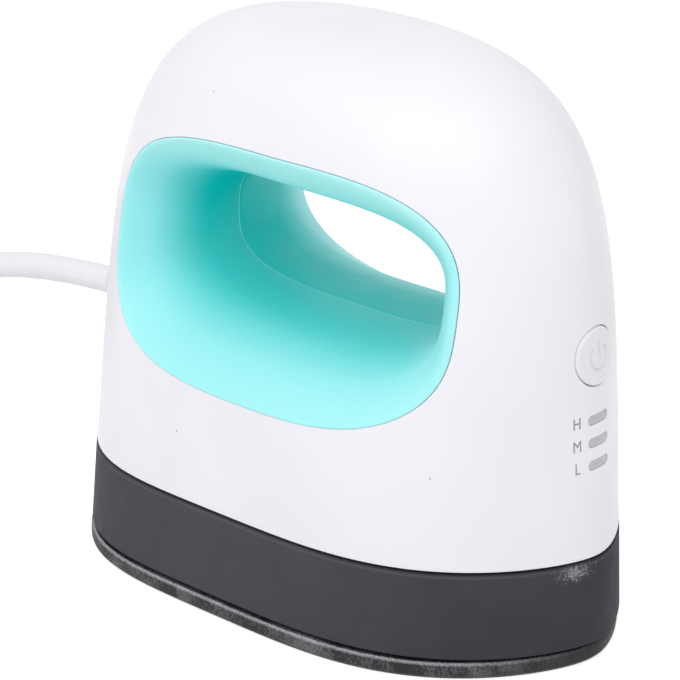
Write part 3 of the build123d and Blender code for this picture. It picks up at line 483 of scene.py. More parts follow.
def add_node(tree: Tree, kind: str, inputs: dict | None = None, **settings: object) -> bpy.types.Node:
    """Adds a node with its settings and links.

    Args:
        tree: The node tree of a material or the world.
        kind: The node's type, without the ShaderNode that it starts with.
        inputs: What each input takes: a value, or another node's output.
        settings: The node's own properties.

    Returns:
        The new node.
    """
    node = tree.nodes.new("ShaderNode" + kind)
    for name, value in settings.items():
        setattr(node, name, value)
    for name, value in (inputs or {}).items():
        if isinstance(value, Socket):
            tree.links.new(value, node.inputs[name])
        else:
            node.inputs[name].default_value = value
    return node


def clear_tree(owner: bpy.types.Material | bpy.types.World) -> Tree:
    """Turns on the nodes of a material or world and empties them.

    Args:
        owner: The material or world.

    Returns:
        Its node tree.
    """
    owner.use_nodes = True
    owner.node_tree.nodes.clear()
    return owner.node_tree


class Surface:
    """A material in the making: its shader, and the patterns that feed it."""

    def __init__(self, name: str, colour: str, **inputs: float) -> None:
        """Starts the material.

        Args:
            name: Its name.
            colour: Its plain colour.
            inputs: The shader's other inputs, with _ for a space.
        """
        self.material = bpy.data.materials.new(name)
        self.tree = clear_tree(self.material)
        values = {key.replace("_", " "): value for key, value in inputs.items()}
        self.shader = add_node(self.tree, "BsdfPrincipled", {"Base Color": linear(colour), **values})
        add_node(self.tree, "OutputMaterial", {"Surface": self.shader.outputs["BSDF"]})
        self.place = self.take("TexCoord", "Object", {})

    def take(self, kind: str, output: str | int, inputs: dict, **settings: object) -> Socket:
        """Adds a node and gives one of its outputs."""
        return add_node(self.tree, kind, inputs, **settings).outputs[output]

    def axes(self) -> Sequence[Socket]:
        """Gives the place along X, Y and Z."""
        return add_node(self.tree, "SeparateXYZ", {"Vector": self.place}).outputs[:]

    def scaled(self, *scale: float) -> Socket:
        """Gives the place with each axis multiplied."""
        return self.take("Mapping", "Vector", {"Vector": self.place, "Scale": scale})

    def noise(self, size: float, detail: float = 3.0, place: Socket | None = None) -> Socket:
        """Adds a noise of one feature size in millimetres."""
        inputs = {"Vector": self.place if place is None else place, "Scale": per_size(size), "Detail": detail}
        return self.take("TexNoise", "Fac", inputs)

    def ramp(
        self, value: Socket, low: float, high: float, to_low: float = 0.0, to_high: float = 1.0, how: str = "LINEAR"
    ) -> Socket:
        """Stretches a value from one range to another, and clamps it."""
        inputs = {"Value": value, "From Min": low, "From Max": high, "To Min": to_low, "To Max": to_high}
        return self.take("MapRange", "Result", inputs, interpolation_type=how)

    def band(self, axis: Socket, start: float, end: float, to_low: float = 0.0, to_high: float = 1.0) -> Socket:
        """Makes a ramp between two places on an axis, given in millimetres."""
        return self.ramp(axis, start * MM, end * MM, to_low, to_high)

    def blend(self, share: Socket, under: Socket | str, over: Socket | str) -> Socket:
        """Mixes two colours by a share."""
        low, high = (linear(tint) if isinstance(tint, str) else tint for tint in (under, over))
        return self.take("Mix", 2, {0: share, 6: low, 7: high}, data_type="RGBA")

    def sum(self, operation: str, *values: Socket | float) -> Socket:
        """Works out one sum of values and other nodes' outputs."""
        return self.take("Math", 0, dict(enumerate(values)), operation=operation)

    def product(self, *values: Socket | float) -> Socket:
        """Multiplies values and other nodes' outputs, in their order."""
        return reduce(lambda left, right: self.sum("MULTIPLY", left, right), values)

    def specks(self, spacing: float, radius: float, share: float, core: float = 0.6) -> Socket:
        """Scatters small round specks.

        Args:
            spacing: The mean distance between places that may hold a speck.
            radius: A speck's radius, in millimetres.
            share: How many of the places hold one.
            core: How much of the radius is at full strength.

        Returns:
            1 on a speck and 0 elsewhere.
        """
        cells = add_node(self.tree, "TexVoronoi", {"Vector": self.place, "Scale": per_size(spacing)}).outputs
        near = self.ramp(cells["Distance"], radius / spacing * core, radius / spacing, 1.0, 0.0)
        chosen = self.take("SeparateColor", "Red", {"Color": cells["Color"]})
        return self.product(near, self.sum("LESS_THAN", chosen, share))

    def feed(self, **outputs: Socket) -> None:
        """Links outputs to the shader's inputs, with _ for a space in their names."""
        for name, output in outputs.items():
            self.tree.links.new(output, self.shader.inputs[name.replace("_", " ")])

    def gloss(self, pattern: Socket, low: float, high: float) -> None:
        """Lets the roughness follow a noise, between two values."""
        self.feed(Roughness=self.ramp(pattern, *NOISE_RANGE, low, high))

    def emboss(self, height: Socket, depth: float) -> None:
        """Gives the shader a bump of one depth in millimetres."""
        inputs = {"Height": height, "Strength": 1.0, "Distance": depth * MM}
        self.feed(Normal=self.take("Bump", "Normal", inputs))


@dataclass(frozen=True)
class Finish:
    """A surface: its real material's name, colour and gloss."""

    name: str
    colour: str
    roughness: float
    ior: float = 1.5
    metallic: float = 0.0

    def paint(self) -> bpy.types.Material:
        """Gives the finish's material, which is made once."""
        return bpy.data.materials.get(self.name) or self.make()

    def make(self) -> bpy.types.Material:
        """Makes the material.

        Returns:
            The material, dressed by the finish's own `treat`.
        """
        surface = Surface(self.name, self.colour, Roughness=self.roughness, Metallic=self.metallic, IOR=self.ior)
        self.treat(surface)
        return surface.material

    def treat(self, surface: Surface) -> None:
        """Lays the finish's own patterns on its plain surface."""


@dataclass(frozen=True)
class MouldedPlastic(Finish):
    """Injection-moulded plastic: an even colour over a fine spark-eroded grain."""

    deep: str = "#000000"
    mottle_size: float = 24.0
    mottle_detail: float = 2.0
    grain_size: float = 0.45
    grain_depth: float = 0.006
    gloss_change: float = 0.05
    speck_colour: str = "#8A8A88"
    speck_spacing: float = 16.0
    speck_radius: float = 0.17
    speck_share: float = 0.0

    def treat(self, surface: Surface) -> None:
        """Lays on the clouds, the specks and the grain.

        Args:
            surface: The material in the making.
        """
        spots = surface.specks(self.speck_spacing, self.speck_radius, self.speck_share)
        surface.feed(Base_Color=surface.blend(spots, self.tone(surface), self.speck_colour))
        patches = surface.noise(self.mottle_size / 3)
        surface.gloss(patches, self.roughness - self.gloss_change, self.roughness + self.gloss_change)
        surface.emboss(surface.noise(self.grain_size), self.grain_depth)

    def tone(self, surface: Surface) -> Socket:
        """Gives the plastic's colour, with its faint clouds."""
        clouds = surface.noise(self.mottle_size, self.mottle_detail)
        return surface.blend(surface.ramp(clouds, *CLOUD_RANGE), self.colour, self.deep)


@dataclass(frozen=True)
class TunnelPlastic(MouldedPlastic):
    """Aqua plastic that is pale at its lips, with painted shade that makes it a saturated teal deep in the grip.

    The lips' distance from the middle plane falls off with the height and along X.
    """

    # The painted shade's colour: the saturated teal deep in the grip.
    inner: str = "#000000"
    lip_share: float = 0.96
    core_share: float = 0.28
    far_shade: float = 0.3
    far_start: float = 0.7
    crown_start: float = 70.0
    crown_end: float = 77.0
    # The painted highlight on the top lip, under the crown.
    crown_highlight_colour: str = "#C0FFFF"
    front_start: float = 23.0
    front_end: float = 29.0
    lip_reach: float = 29.9
    lip_drop: float = 5.0
    lip_curve: float = 0.0038
    low: float = 40.0
    high: float = 62.0
    low_share: float = 0.66
    # The painted highlight along the near half's edge where both halves meet.
    edge_highlight_colour: str = "#FFFFFF"
    edge_highlight_width: float = 0.4
    edge_core: float = 0.7
    edge_highlight_strength: float = 0.55
    edge_fade: float = 0.02

    def tone(self, surface: Surface) -> Socket:
        """Gives the colour, with painted shade set by the depth under the lips and by the height.

        Args:
            surface: The material in the making.

        Returns:
            The colour, with a painted highlight on the edge of the near half where both halves meet.
        """
        along, across, up = surface.axes()
        # How far the lips stand out, and how much of that way a point lies from the middle.
        lips = self.lip_reach * MM, (self.lip_reach - self.lip_drop) * MM
        fall = surface.product(along, along, self.lip_curve / MM)
        reach = surface.sum("SUBTRACT", surface.band(up, self.low, self.high, *lips), fall)
        share = surface.sum("DIVIDE", surface.sum("ABSOLUTE", across), reach)
        # Painted shade: saturated deep inside, but less at the sill, under the crown and at the front.
        lit = surface.product(
            surface.band(up, self.crown_start, self.crown_end, 1.0, 0.0),
            surface.band(along, self.front_start, self.front_end, 1.0, 0.0),
            surface.band(up, self.low, self.high, self.low_share, 1.0),
            surface.ramp(share, self.core_share, self.lip_share, 1.0, 0.0, "SMOOTHSTEP"),
        )
        # More painted shade on the far half, away from its lip.
        shade = surface.product(
            surface.ramp(share, self.far_start, self.lip_share, self.far_shade, 0.0), surface.band(across, 0.0, 1.0)
        )
        deep = surface.sum("MINIMUM", surface.sum("ADD", lit, shade), 1.0)
        # Painted highlight: the top lip turns whitish under the crown.
        above = surface.band(up, self.crown_start, self.crown_end)
        lip = surface.blend(above, super().tone(surface), self.crown_highlight_colour)
        # Painted highlight along the near half's edge where both halves meet.
        edge = surface.product(
            surface.band(across, -self.edge_highlight_width, -self.edge_highlight_width * self.edge_core, 0.0, self.edge_highlight_strength),
            surface.band(across, -self.edge_fade, 0.0, 1.0, 0.0),
        )
        return surface.blend(edge, surface.blend(deep, lip, self.inner), self.edge_highlight_colour)


@dataclass(frozen=True)
class FilledNylon(Finish):
    """Glass-filled nylon: matt and dark, with dust, one pale scuff from handling, painted shade towards the nose and
    a painted highlight along its upper edge.
    """

    deep: str = "#000000"
    cloud_size: float = 14.0
    cloud_share: float = 0.3
    nose_shade_start: float = 5.0
    # Painted shade, darker towards the nose.
    nose_shade_end: float = 50.0
    nose_shade_share: float = 0.7
    dust_colour: str = "#8C8D92"
    dust: tuple[float, float, float] = (4.5, 0.13, 0.3)
    # A painted highlight along the upper edge, under the seam.
    edge_height: float = 18.2
    edge_band: float = 0.35
    edge_share: float = 0.35
    edge_fade: tuple[float, float] = (0.1, 0.25)
    edge_highlight_colour: str = "#606166"
    scuff_colour: str = "#9B9CA2"
    scuff_place: tuple[float, float, float] = (50.9, -5.5, 17.3)
    scuff_reach: float = 5.4
    scuff_stretch: float = 0.62
    scuff_squash: float = 1.5
    scuff_weight: float = 0.56
    scuff_grit: float = 0.28
    scuff_range: tuple[float, float] = (0.86, 1.06)
    scuff_share: float = 0.9
    rub_size: float = 3.0
    gloss_change: tuple[float, float] = (0.06, 0.08)
    grain_size: float = 0.5
    grain_depth: float = 0.012

    def treat(self, surface: Surface) -> None:
        """Lays on the clouds, the painted shade towards the nose, the dust, the painted highlight on the upper edge,
        the scuff and the grain.

        Args:
            surface: The material in the making.
        """
        along, _, height = surface.axes()
        clouds = surface.ramp(surface.noise(self.cloud_size, detail=4.0), *CLOUD_RANGE, 0.0, self.cloud_share)
        # Painted shade: darker towards the nose.
        nose_shade = surface.band(along, self.nose_shade_start, self.nose_shade_end, 0.0, self.nose_shade_share)
        even = surface.blend(surface.sum("ADD", clouds, nose_shade), self.colour, self.deep)
        dusty = surface.blend(surface.specks(*self.dust), even, self.dust_colour)
        # Painted highlight along the upper edge, under the seam.
        fade_start, fade_end = (self.edge_height + step for step in self.edge_fade)
        edge = surface.product(
            surface.band(height, self.edge_height - self.edge_band, self.edge_height, 0.0, self.edge_share),
            surface.band(height, fade_start, fade_end, 1.0, 0.0),
        )
        edged = surface.blend(edge, dusty, self.edge_highlight_colour)
        surface.feed(Base_Color=surface.blend(self.scuff(surface), edged, self.scuff_colour))
        less, more = self.gloss_change
        surface.gloss(surface.noise(self.rub_size, detail=5.0), self.roughness - less, self.roughness + more)
        surface.emboss(surface.noise(self.grain_size), self.grain_depth)

    def scuff(self, surface: Surface) -> Socket:
        """Makes the gritty scuff, which is longer across the nose than up it.

        Args:
            surface: The material in the making.

        Returns:
            How strong the scuff is.
        """
        x, y, z = self.scuff_place
        spot = (x * MM, y * self.scuff_stretch * MM, z * self.scuff_squash * MM)
        smeared = surface.scaled(1.0, self.scuff_stretch, self.scuff_squash)
        away = surface.take("VectorMath", "Value", {0: smeared, 1: spot}, operation="DISTANCE")
        near = surface.band(away, 0.0, self.scuff_reach, self.scuff_weight, 0.0)
        gritty = surface.sum("ADD", near, surface.noise(self.scuff_grit, detail=4.0))
        return surface.ramp(gritty, *self.scuff_range, 0.0, self.scuff_share)


@dataclass(frozen=True)
class CoatedCasting(Finish):
    """Non-stick coating sprayed on a blasted casting: dark and mottled, with a painted highlight along the top bevel
    of its rim.
    """

    streak_colour: str = "#949497"
    patch_size: float = 5.0
    streak_size: float = 0.34
    streak_stretch: float = 0.7
    streak_range: tuple[float, float] = (0.92, 1.42)
    streak_share: float = 0.66
    # Painted shade: fewer streaks low down, so the lower edge reads darker.
    shade_height: float = 1.2
    shade_left: float = 0.3
    # A painted highlight along the rim's top bevel.
    rim_highlight_colour: str = "#C4C4C8"
    rim_height: float = 2.85
    rim_band: float = 0.3
    rim_top: float = 3.0
    rim_fade: float = 0.07
    rim_share: float = 0.75
    rim_gaps: tuple[float, float] = (0.3, 0.65)
    rim_left: float = 0.35
    nose_fade_start: float = 40.0
    nose_fade_end: float = 51.5
    nose_fade_left: float = 0.15
    gloss_range: tuple[float, float] = (0.42, 0.68)
    grain_depth: float = 0.02

    def treat(self, surface: Surface) -> None:
        """Lays on the streaks and the painted highlight along the rim's top bevel, both fainter at the nose, with
        fewer streaks low down as painted shade.

        Args:
            surface: The material in the making.
        """
        along, _, height = surface.axes()
        drawn = surface.scaled(1.0, 1.0, self.streak_stretch)
        fine = surface.noise(self.streak_size, detail=4.0, place=drawn)
        uneven = surface.sum("ADD", surface.noise(self.patch_size, place=drawn), fine)
        fainter = surface.band(along, self.nose_fade_start, self.nose_fade_end, 1.0, self.nose_fade_left)
        # Streaks, with fewer low down as painted shade.
        streaks = surface.product(
            surface.ramp(uneven, *self.streak_range, 0.0, self.streak_share), fainter,
            surface.band(height, 0.0, self.shade_height, self.shade_left, 1.0),
        )
        # Painted highlight along the rim's top bevel, broken up by the fine noise.
        bevel_highlight = surface.product(
            surface.band(height, self.rim_height - self.rim_band, self.rim_height, 0.0, self.rim_share),
            surface.ramp(fine, *self.rim_gaps, self.rim_left, 1.0), fainter,
            surface.band(height, self.rim_top, self.rim_top + self.rim_fade, 1.0, 0.0),
        )
        mottled = surface.blend(streaks, self.colour, self.streak_colour)
        surface.feed(Base_Color=surface.blend(bevel_highlight, mottled, self.rim_highlight_colour))
        surface.gloss(fine, *self.gloss_range)
        surface.emboss(fine, self.grain_depth)


class Weave(Enum):
    """How a fibre material is laid."""

    BRAID = "braid"
    FELT = "felt"
    LOOPS = "loops"


@dataclass(frozen=True)
class Fibre(Finish):
    """Braided, felted or looped fibres."""

    weave: Weave = Weave.BRAID
    thread: float = 0.5
    shade: str = "#000000"
    sheen: float = 0.25
    distortion: float = 1.5
    shade_range: tuple[float, float] = (0.2, 0.8)

    def treat(self, surface: Surface) -> None:
        """Lays on the threads and the sheen of their ends.

        Args:
            surface: The material in the making.
        """
        inputs = {"Vector": surface.place, "Scale": per_size(self.thread)}
        if self.weave is Weave.BRAID:
            inputs |= {"Scale": per_size(self.thread * 4), "Distortion": self.distortion}
            threads = surface.take("TexWave", "Fac", inputs, bands_direction="DIAGONAL")
        elif self.weave is Weave.LOOPS:
            threads = surface.take("TexVoronoi", "Distance", inputs)
        else:
            threads = surface.noise(self.thread, detail=9.0)
        lit = surface.ramp(threads, *self.shade_range)
        surface.feed(Base_Color=surface.blend(lit, self.shade, self.colour))
        surface.shader.inputs["Sheen Weight"].default_value = self.sheen
        surface.emboss(threads, self.thread / 3)


@dataclass(frozen=True)
class SheetMetal(Finish):
    """Rolled, stamped or plated metal, with fine drawing lines and soft stains."""

    metallic: float = 1.0
    stain: str = "#000000"
    stain_size: float = 6.0
    stain_range: tuple[float, float] = (0.4, 0.75)
    stain_share: float = 0.6
    line_size: float = 0.12
    line_stretch: float = 0.06
    line_depth: float = 0.004
    gloss_change: tuple[float, float] = (0.07, 0.1)

    def treat(self, surface: Surface) -> None:
        """Lays on the stains and the lines.

        Args:
            surface: The material in the making.
        """
        stains = surface.ramp(surface.noise(self.stain_size, detail=5.0), *self.stain_range, 0.0, self.stain_share)
        surface.feed(Base_Color=surface.blend(stains, self.colour, self.stain))
        lines = surface.noise(self.line_size, detail=2.0, place=surface.scaled(self.line_stretch, 1.0, 1.0))
        less, more = self.gloss_change
        surface.gloss(lines, self.roughness - less, self.roughness + more)
        surface.emboss(lines, self.line_depth)


@dataclass(frozen=True)
class BoardLaminate(Finish):
    """Solder mask over copper tracks on glass laminate."""

    track_colour: str = "#2F7A45"
    track_width: float = 0.9
    track_depth: float = 0.03
    coat: float = 0.4

    def treat(self, surface: Surface) -> None:
        """Lays on the tracks and the clear coat.

        Args:
            surface: The material in the making.
        """
        turn = {"Vector": surface.place, "Rotation": (0.0, math.pi / 2, 0.0)}
        tracks = surface.take("TexBrick", "Fac", {
            "Vector": surface.take("Mapping", "Vector", turn), "Scale": per_size(self.track_width * 3),
            "Mortar Size": 0.06, "Mortar Smooth": 0.1, "Brick Width": 1.4, "Row Height": 0.7,
        })
        surface.feed(Base_Color=surface.blend(tracks, self.colour, self.track_colour))
        surface.shader.inputs["Coat Weight"].default_value = self.coat
        surface.emboss(tracks, self.track_depth)


# ABS from a spark-eroded mould: cool white, satin, with a soft even highlight.
SHELL_WHITE = MouldedPlastic("abs_satin_white", "#F3F2F8", 0.42, deep="#EFEEF5", speck_share=0.16)
BUTTON_WHITE = MouldedPlastic("abs_button_white", "#ECECF1", 0.36, deep="#E9E9EF")
# ABS again, in aqua: pale at the lips, with painted shade that turns it a saturated teal inside the grip.
LINER_TEAL = TunnelPlastic(
    "abs_satin_aqua", "#ADF6F8", 0.4, ior=1.28, deep="#A9F4F6", speck_colour="#97E9EB", speck_share=0.08,
    # The painted shade's teal, and the painted highlight on the parting edge.
    inner="#04D2CF", edge_highlight_colour="#9DF7F6",
)
# Glass-filled nylon: the dark heat-proof band, matt with dust in its grain.
SKIRT_GREY = FilledNylon("glass_filled_nylon", "#4D4E54", 0.72, ior=1.22, deep="#3A3B42")
# Sprayed non-stick coating on blasted aluminium: mottled dark grey.
PLATE_COATING = CoatedCasting("sprayed_ptfe_coating", "#2C2C2F", 0.55, ior=1.3)
# Frosted polycarbonate: the unlit windows read as flat pale grey.
WINDOW_GREY = MouldedPlastic("frosted_polycarbonate", "#C0BFC5", 0.3, ior=1.58, deep="#BAB9BF")
# Pad-printing ink: a thin matt grey film.
PRINT_GREY = MouldedPlastic("pad_print_ink", "#97979E", 0.6, deep="#8F8F97", grain_size=0.2)
# Soft PVC, extruded over the cores and moulded as plug and strain relief.
CORD_WHITE = MouldedPlastic("extruded_pvc_white", "#EFEFF3", 0.4, deep="#EAEAEF", grain_size=0.8)
# Hook-and-loop strip: a nap of black nylon loops.
TIE_BLACK = Fibre("nylon_hook_and_loop", "#2C2C30", 0.9, weave=Weave.LOOPS, thread=0.6, shade="#0E0E10")

# The finishes of the CAD nodes that keep their own shape, by the record's material slots.
KEPT_FINISHES: dict[str, Finish] = {
    "shell_white": SHELL_WHITE,
    "blade_brass": SheetMetal("stamped_brass", "#D6B672", 0.24, stain="#B5935A"),
    "heater_strip": SheetMetal("etched_stainless_strip", "#B9B7B3", 0.32, stain="#8F8374"),
    "mica": Fibre("pressed_mica", "#CFC294", 0.55, weave=Weave.FELT, thread=1.6, shade="#A89862"),
    "pressed_aluminium": SheetMetal("pressed_aluminium", "#D3D4D6", 0.34, stain="#B8B9BC"),
    "zinc_steel": SheetMetal("zinc_plated_steel", "#CFCFCB", 0.3, stain="#B9B7A6"),
    "fuse_sleeve": Fibre("glass_sleeve", "#E4E3DA", 0.8, thread=0.3, shade="#BDBBAE"),
    "ceramic_felt": Fibre("needled_ceramic_felt", "#EAE8DF", 0.95, weave=Weave.FELT, thread=1.0, shade="#CFCBBD"),
    "board_laminate": BoardLaminate("solder_masked_laminate", "#15502C", 0.35),
    "part_black": MouldedPlastic("moulded_epoxy_black", "#222223", 0.5, deep="#1B1B1C"),
    "led_resin": MouldedPlastic("cast_epoxy_clear", "#E6E7E2", 0.15, deep="#DADBD5"),
    "terminal_green": MouldedPlastic("moulded_nylon_green", "#3A9A5C", 0.45, deep="#348D53"),
    "capacitor_box": MouldedPlastic("potted_polyester_box", "#C39A35", 0.3, deep="#B88F2D"),
    "capacitor_can": MouldedPlastic("sleeved_can_blue", "#3A4180", 0.3, deep="#343A74"),
    "resistor_body": MouldedPlastic("lacquered_ceramic_blue", "#8FAABC", 0.3, deep="#85A0B2"),
    "connector_nylon": MouldedPlastic("natural_nylon", "#ECEAE2", 0.45, deep="#E4E1D7"),
    "lead_sleeve": MouldedPlastic("silicone_lead_sleeve", "#E3E3E1", 0.5, deep="#D9D9D6"),
    "lead_braid": Fibre("glass_braid_sleeve", "#E2DFCF", 0.85, thread=0.3, shade="#B7B39E"),
}


# ---- Pieces --------------------------------------------------------------------------


def put(name: str, data: bpy.types.ID) -> Piece:
    """Makes an object of some data and links it to the scene.

    Args:
        name: The object's name.
        data: Its mesh, curve, lamp or camera.

    Returns:
        The object.
    """
    piece = bpy.data.objects.new(name, data)
    bpy.context.scene.collection.objects.link(piece)
    return piece


def mesh_of(skin: Skin, name: str) -> bpy.types.Mesh:
    """Turns a skin into a mesh, and frees the skin.

    Args:
        skin: The skin.
        name: The mesh's name.

    Returns:
        The mesh.
    """
    mesh = bpy.data.meshes.new(name)
    skin.to_mesh(mesh)
    skin.free()
    return mesh


def baked(piece: Piece) -> bpy.types.Mesh:
    """Makes a mesh of a piece as its modifiers leave it.

    Args:
        piece: The piece.

    Returns:
        The new mesh.
    """
    graph = bpy.context.evaluated_depsgraph_get()
    graph.update()
    return bpy.data.meshes.new_from_object(piece.evaluated_get(graph))


def make_piece(
    skin: Skin, name: str, finish: Finish, node: str = "", sharp: float = 40.0, body: Body = Body.HOUSING
) -> Piece:
    """Turns a skin into a piece that rides on a body.

    Args:
        skin: The finished skin, which is freed.
        name: The piece's name.
        finish: What its surface is.
        node: The CAD node that it stands for, if any.
        sharp: The angle in degrees past which an edge looks sharp.
        body: The body that it moves with.

    Returns:
        The piece.
    """
    mesh = mesh_of(skin, name)
    mesh.shade_smooth()
    mesh.set_sharp_from_angle(angle=math.radians(sharp))
    piece = put(name, mesh)
    mesh.materials.append(finish.paint())
    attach(piece, body.value)
    if node:
        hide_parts(node)
    log.info("%s: %d faces", name, len(mesh.polygons))
    return piece


def cut_away(piece: Piece, cutters: Iterable[Skin], sharp: float) -> None:
    """Cuts solids out of a piece and marks its sharp edges anew.

    Args:
        piece: The piece, which keeps its place.
        cutters: Closed skins, which are freed.
        sharp: The angle in degrees past which an edge looks sharp.
    """
    for skin in cutters:
        mesh = mesh_of(skin, "cutter")
        tool = put("cutter", mesh)
        cut = piece.modifiers.new("cut", "BOOLEAN")
        cut.operation, cut.solver, cut.object = "DIFFERENCE", "EXACT", tool
        old, new = piece.data, baked(piece)
        piece.modifiers.clear()
        piece.data = new
        bpy.data.meshes.remove(old)
        new.name = piece.name
        bpy.data.objects.remove(tool)
        bpy.data.meshes.remove(mesh)
    piece.data.set_sharp_from_angle(angle=math.radians(sharp))


def shade_by_form(piece: Piece, form: BodyForm, reach: float = 0.5, facing: float = 0.94) -> None:
    """Shades the faces that lie along a form by the form's own slope.

    Args:
        piece: A piece whose outer faces follow the form.
        form: The form.
        reach: How far from the form a face may lie, in millimetres.
        facing: The least cosine of the angle between a face's normal and the slope.
    """
    mesh = piece.data
    normals: list[Vector] = [Vector() for _ in mesh.loops]
    known: dict[int, Vector] = {}
    for face in mesh.polygons:
        middle = face.center / MM
        slope = form.slope(middle)
        if slope.length < 1e-9 or face.normal.dot(slope.normalized()) < facing:
            continue
        if abs(form.level(*middle)) / slope.length > reach:
            continue
        for loop, vert in zip(face.loop_indices, face.vertices):
            if vert not in known:
                known[vert] = form.slope(mesh.vertices[vert].co / MM).normalized()
            normals[loop] = known[vert]
    mesh.normals_split_custom_set(normals)


# ---- Upper shell and its print -------------------------------------------------------


@dataclass
class GripForm:
    """The grip's opening: a throat in the middle plane that flares to a mouth on each side."""

    form: BodyForm
    x: float = 0.7
    mouth_half_length: float = 34.7
    mouth_half_height: float = 21.1
    mouth_height: float = 60.4
    mouth_power: float = 2.9
    throat_x: float = -0.16
    throat_half_length: float = 27.1
    throat_half_height: float = 10.85
    throat_height: float = 59.5
    throat_power: float = 3.25
    rear_flare: float = 1.9
    front_flare: float = 3.23
    flare_slope: float = 3.0
    points: int = 240
    trace_points: int = 1440
    overshoot: float = 1.25
    tunnel_steps: int = 20

    def angles(self) -> list[float]:
        """Spaces angles so that the mouth's points are even.

        Returns:
            The angles, each of which was carried along the outline as a tiny Z.
        """
        dense = []
        for angle in turns(self.trace_points):
            across, up = self.power_point(angle, self.mouth_power)
            dense.append(Vector((self.mouth_half_length * across, self.mouth_half_height * up, angle * 1e-6)))
        return [point.z * 1e6 for point in spread(dense, self.points, closed=True)]

    def power_point(self, angle: float, power: float) -> tuple[float, float]:
        """Gives a point of a unit oval of one power."""
        across, up = math.cos(angle), math.sin(angle)
        return math.copysign(abs(across) ** (2 / power), across), math.copysign(abs(up) ** (2 / power), up)

    def point(self, angle: float, share: float, side: int, land: float, wall: float) -> Vector:
        """Finds a point on the funnel.

        Args:
            angle: Which way it lies round the opening.
            share: How far out it lies, from 0 in the middle plane to 1 on the shell.
            side: -1 for the near side, and 1 for the far one.
            land: How far the mouth is drawn in.
            wall: How much the throat is grown.

        Returns:
            The point.
        """
        across, up = self.power_point(angle, self.mouth_power)
        x = self.x + (self.mouth_half_length - land) * across
        z = self.mouth_height + (self.mouth_half_height - land) * up
        y = side * share * self.form.side_at(x, z)
        across, up = self.power_point(angle, self.throat_power)
        inner = Vector((
            self.throat_x + (self.throat_half_length + wall) * across, y,
            self.throat_height + (self.throat_half_height + wall) * up,
        ))
        power = self.rear_flare + (self.front_flare - self.rear_flare) * (1 + math.cos(angle)) / 2
        flare = share**power if share < 1 else 1 + self.flare_slope * (share - 1)
        return inner + (Vector((x, y, z)) - inner) * flare

    def tunnel(self, land: float, wall: float) -> Skin:
        """Makes the solid of the whole opening, past both faces of the body.

        Args:
            land: How far the mouth is drawn in.
            wall: How much the throat is grown.

        Returns:
            The solid's skin.
        """
        angles, rings = self.angles(), []
        for step in range(-self.tunnel_steps, self.tunnel_steps + 1):
            share, side = self.overshoot * step / self.tunnel_steps, 1 if step >= 0 else -1
            rings.append([self.point(angle, abs(share), side, land, wall) for angle in angles])
        return skin_over(rings)


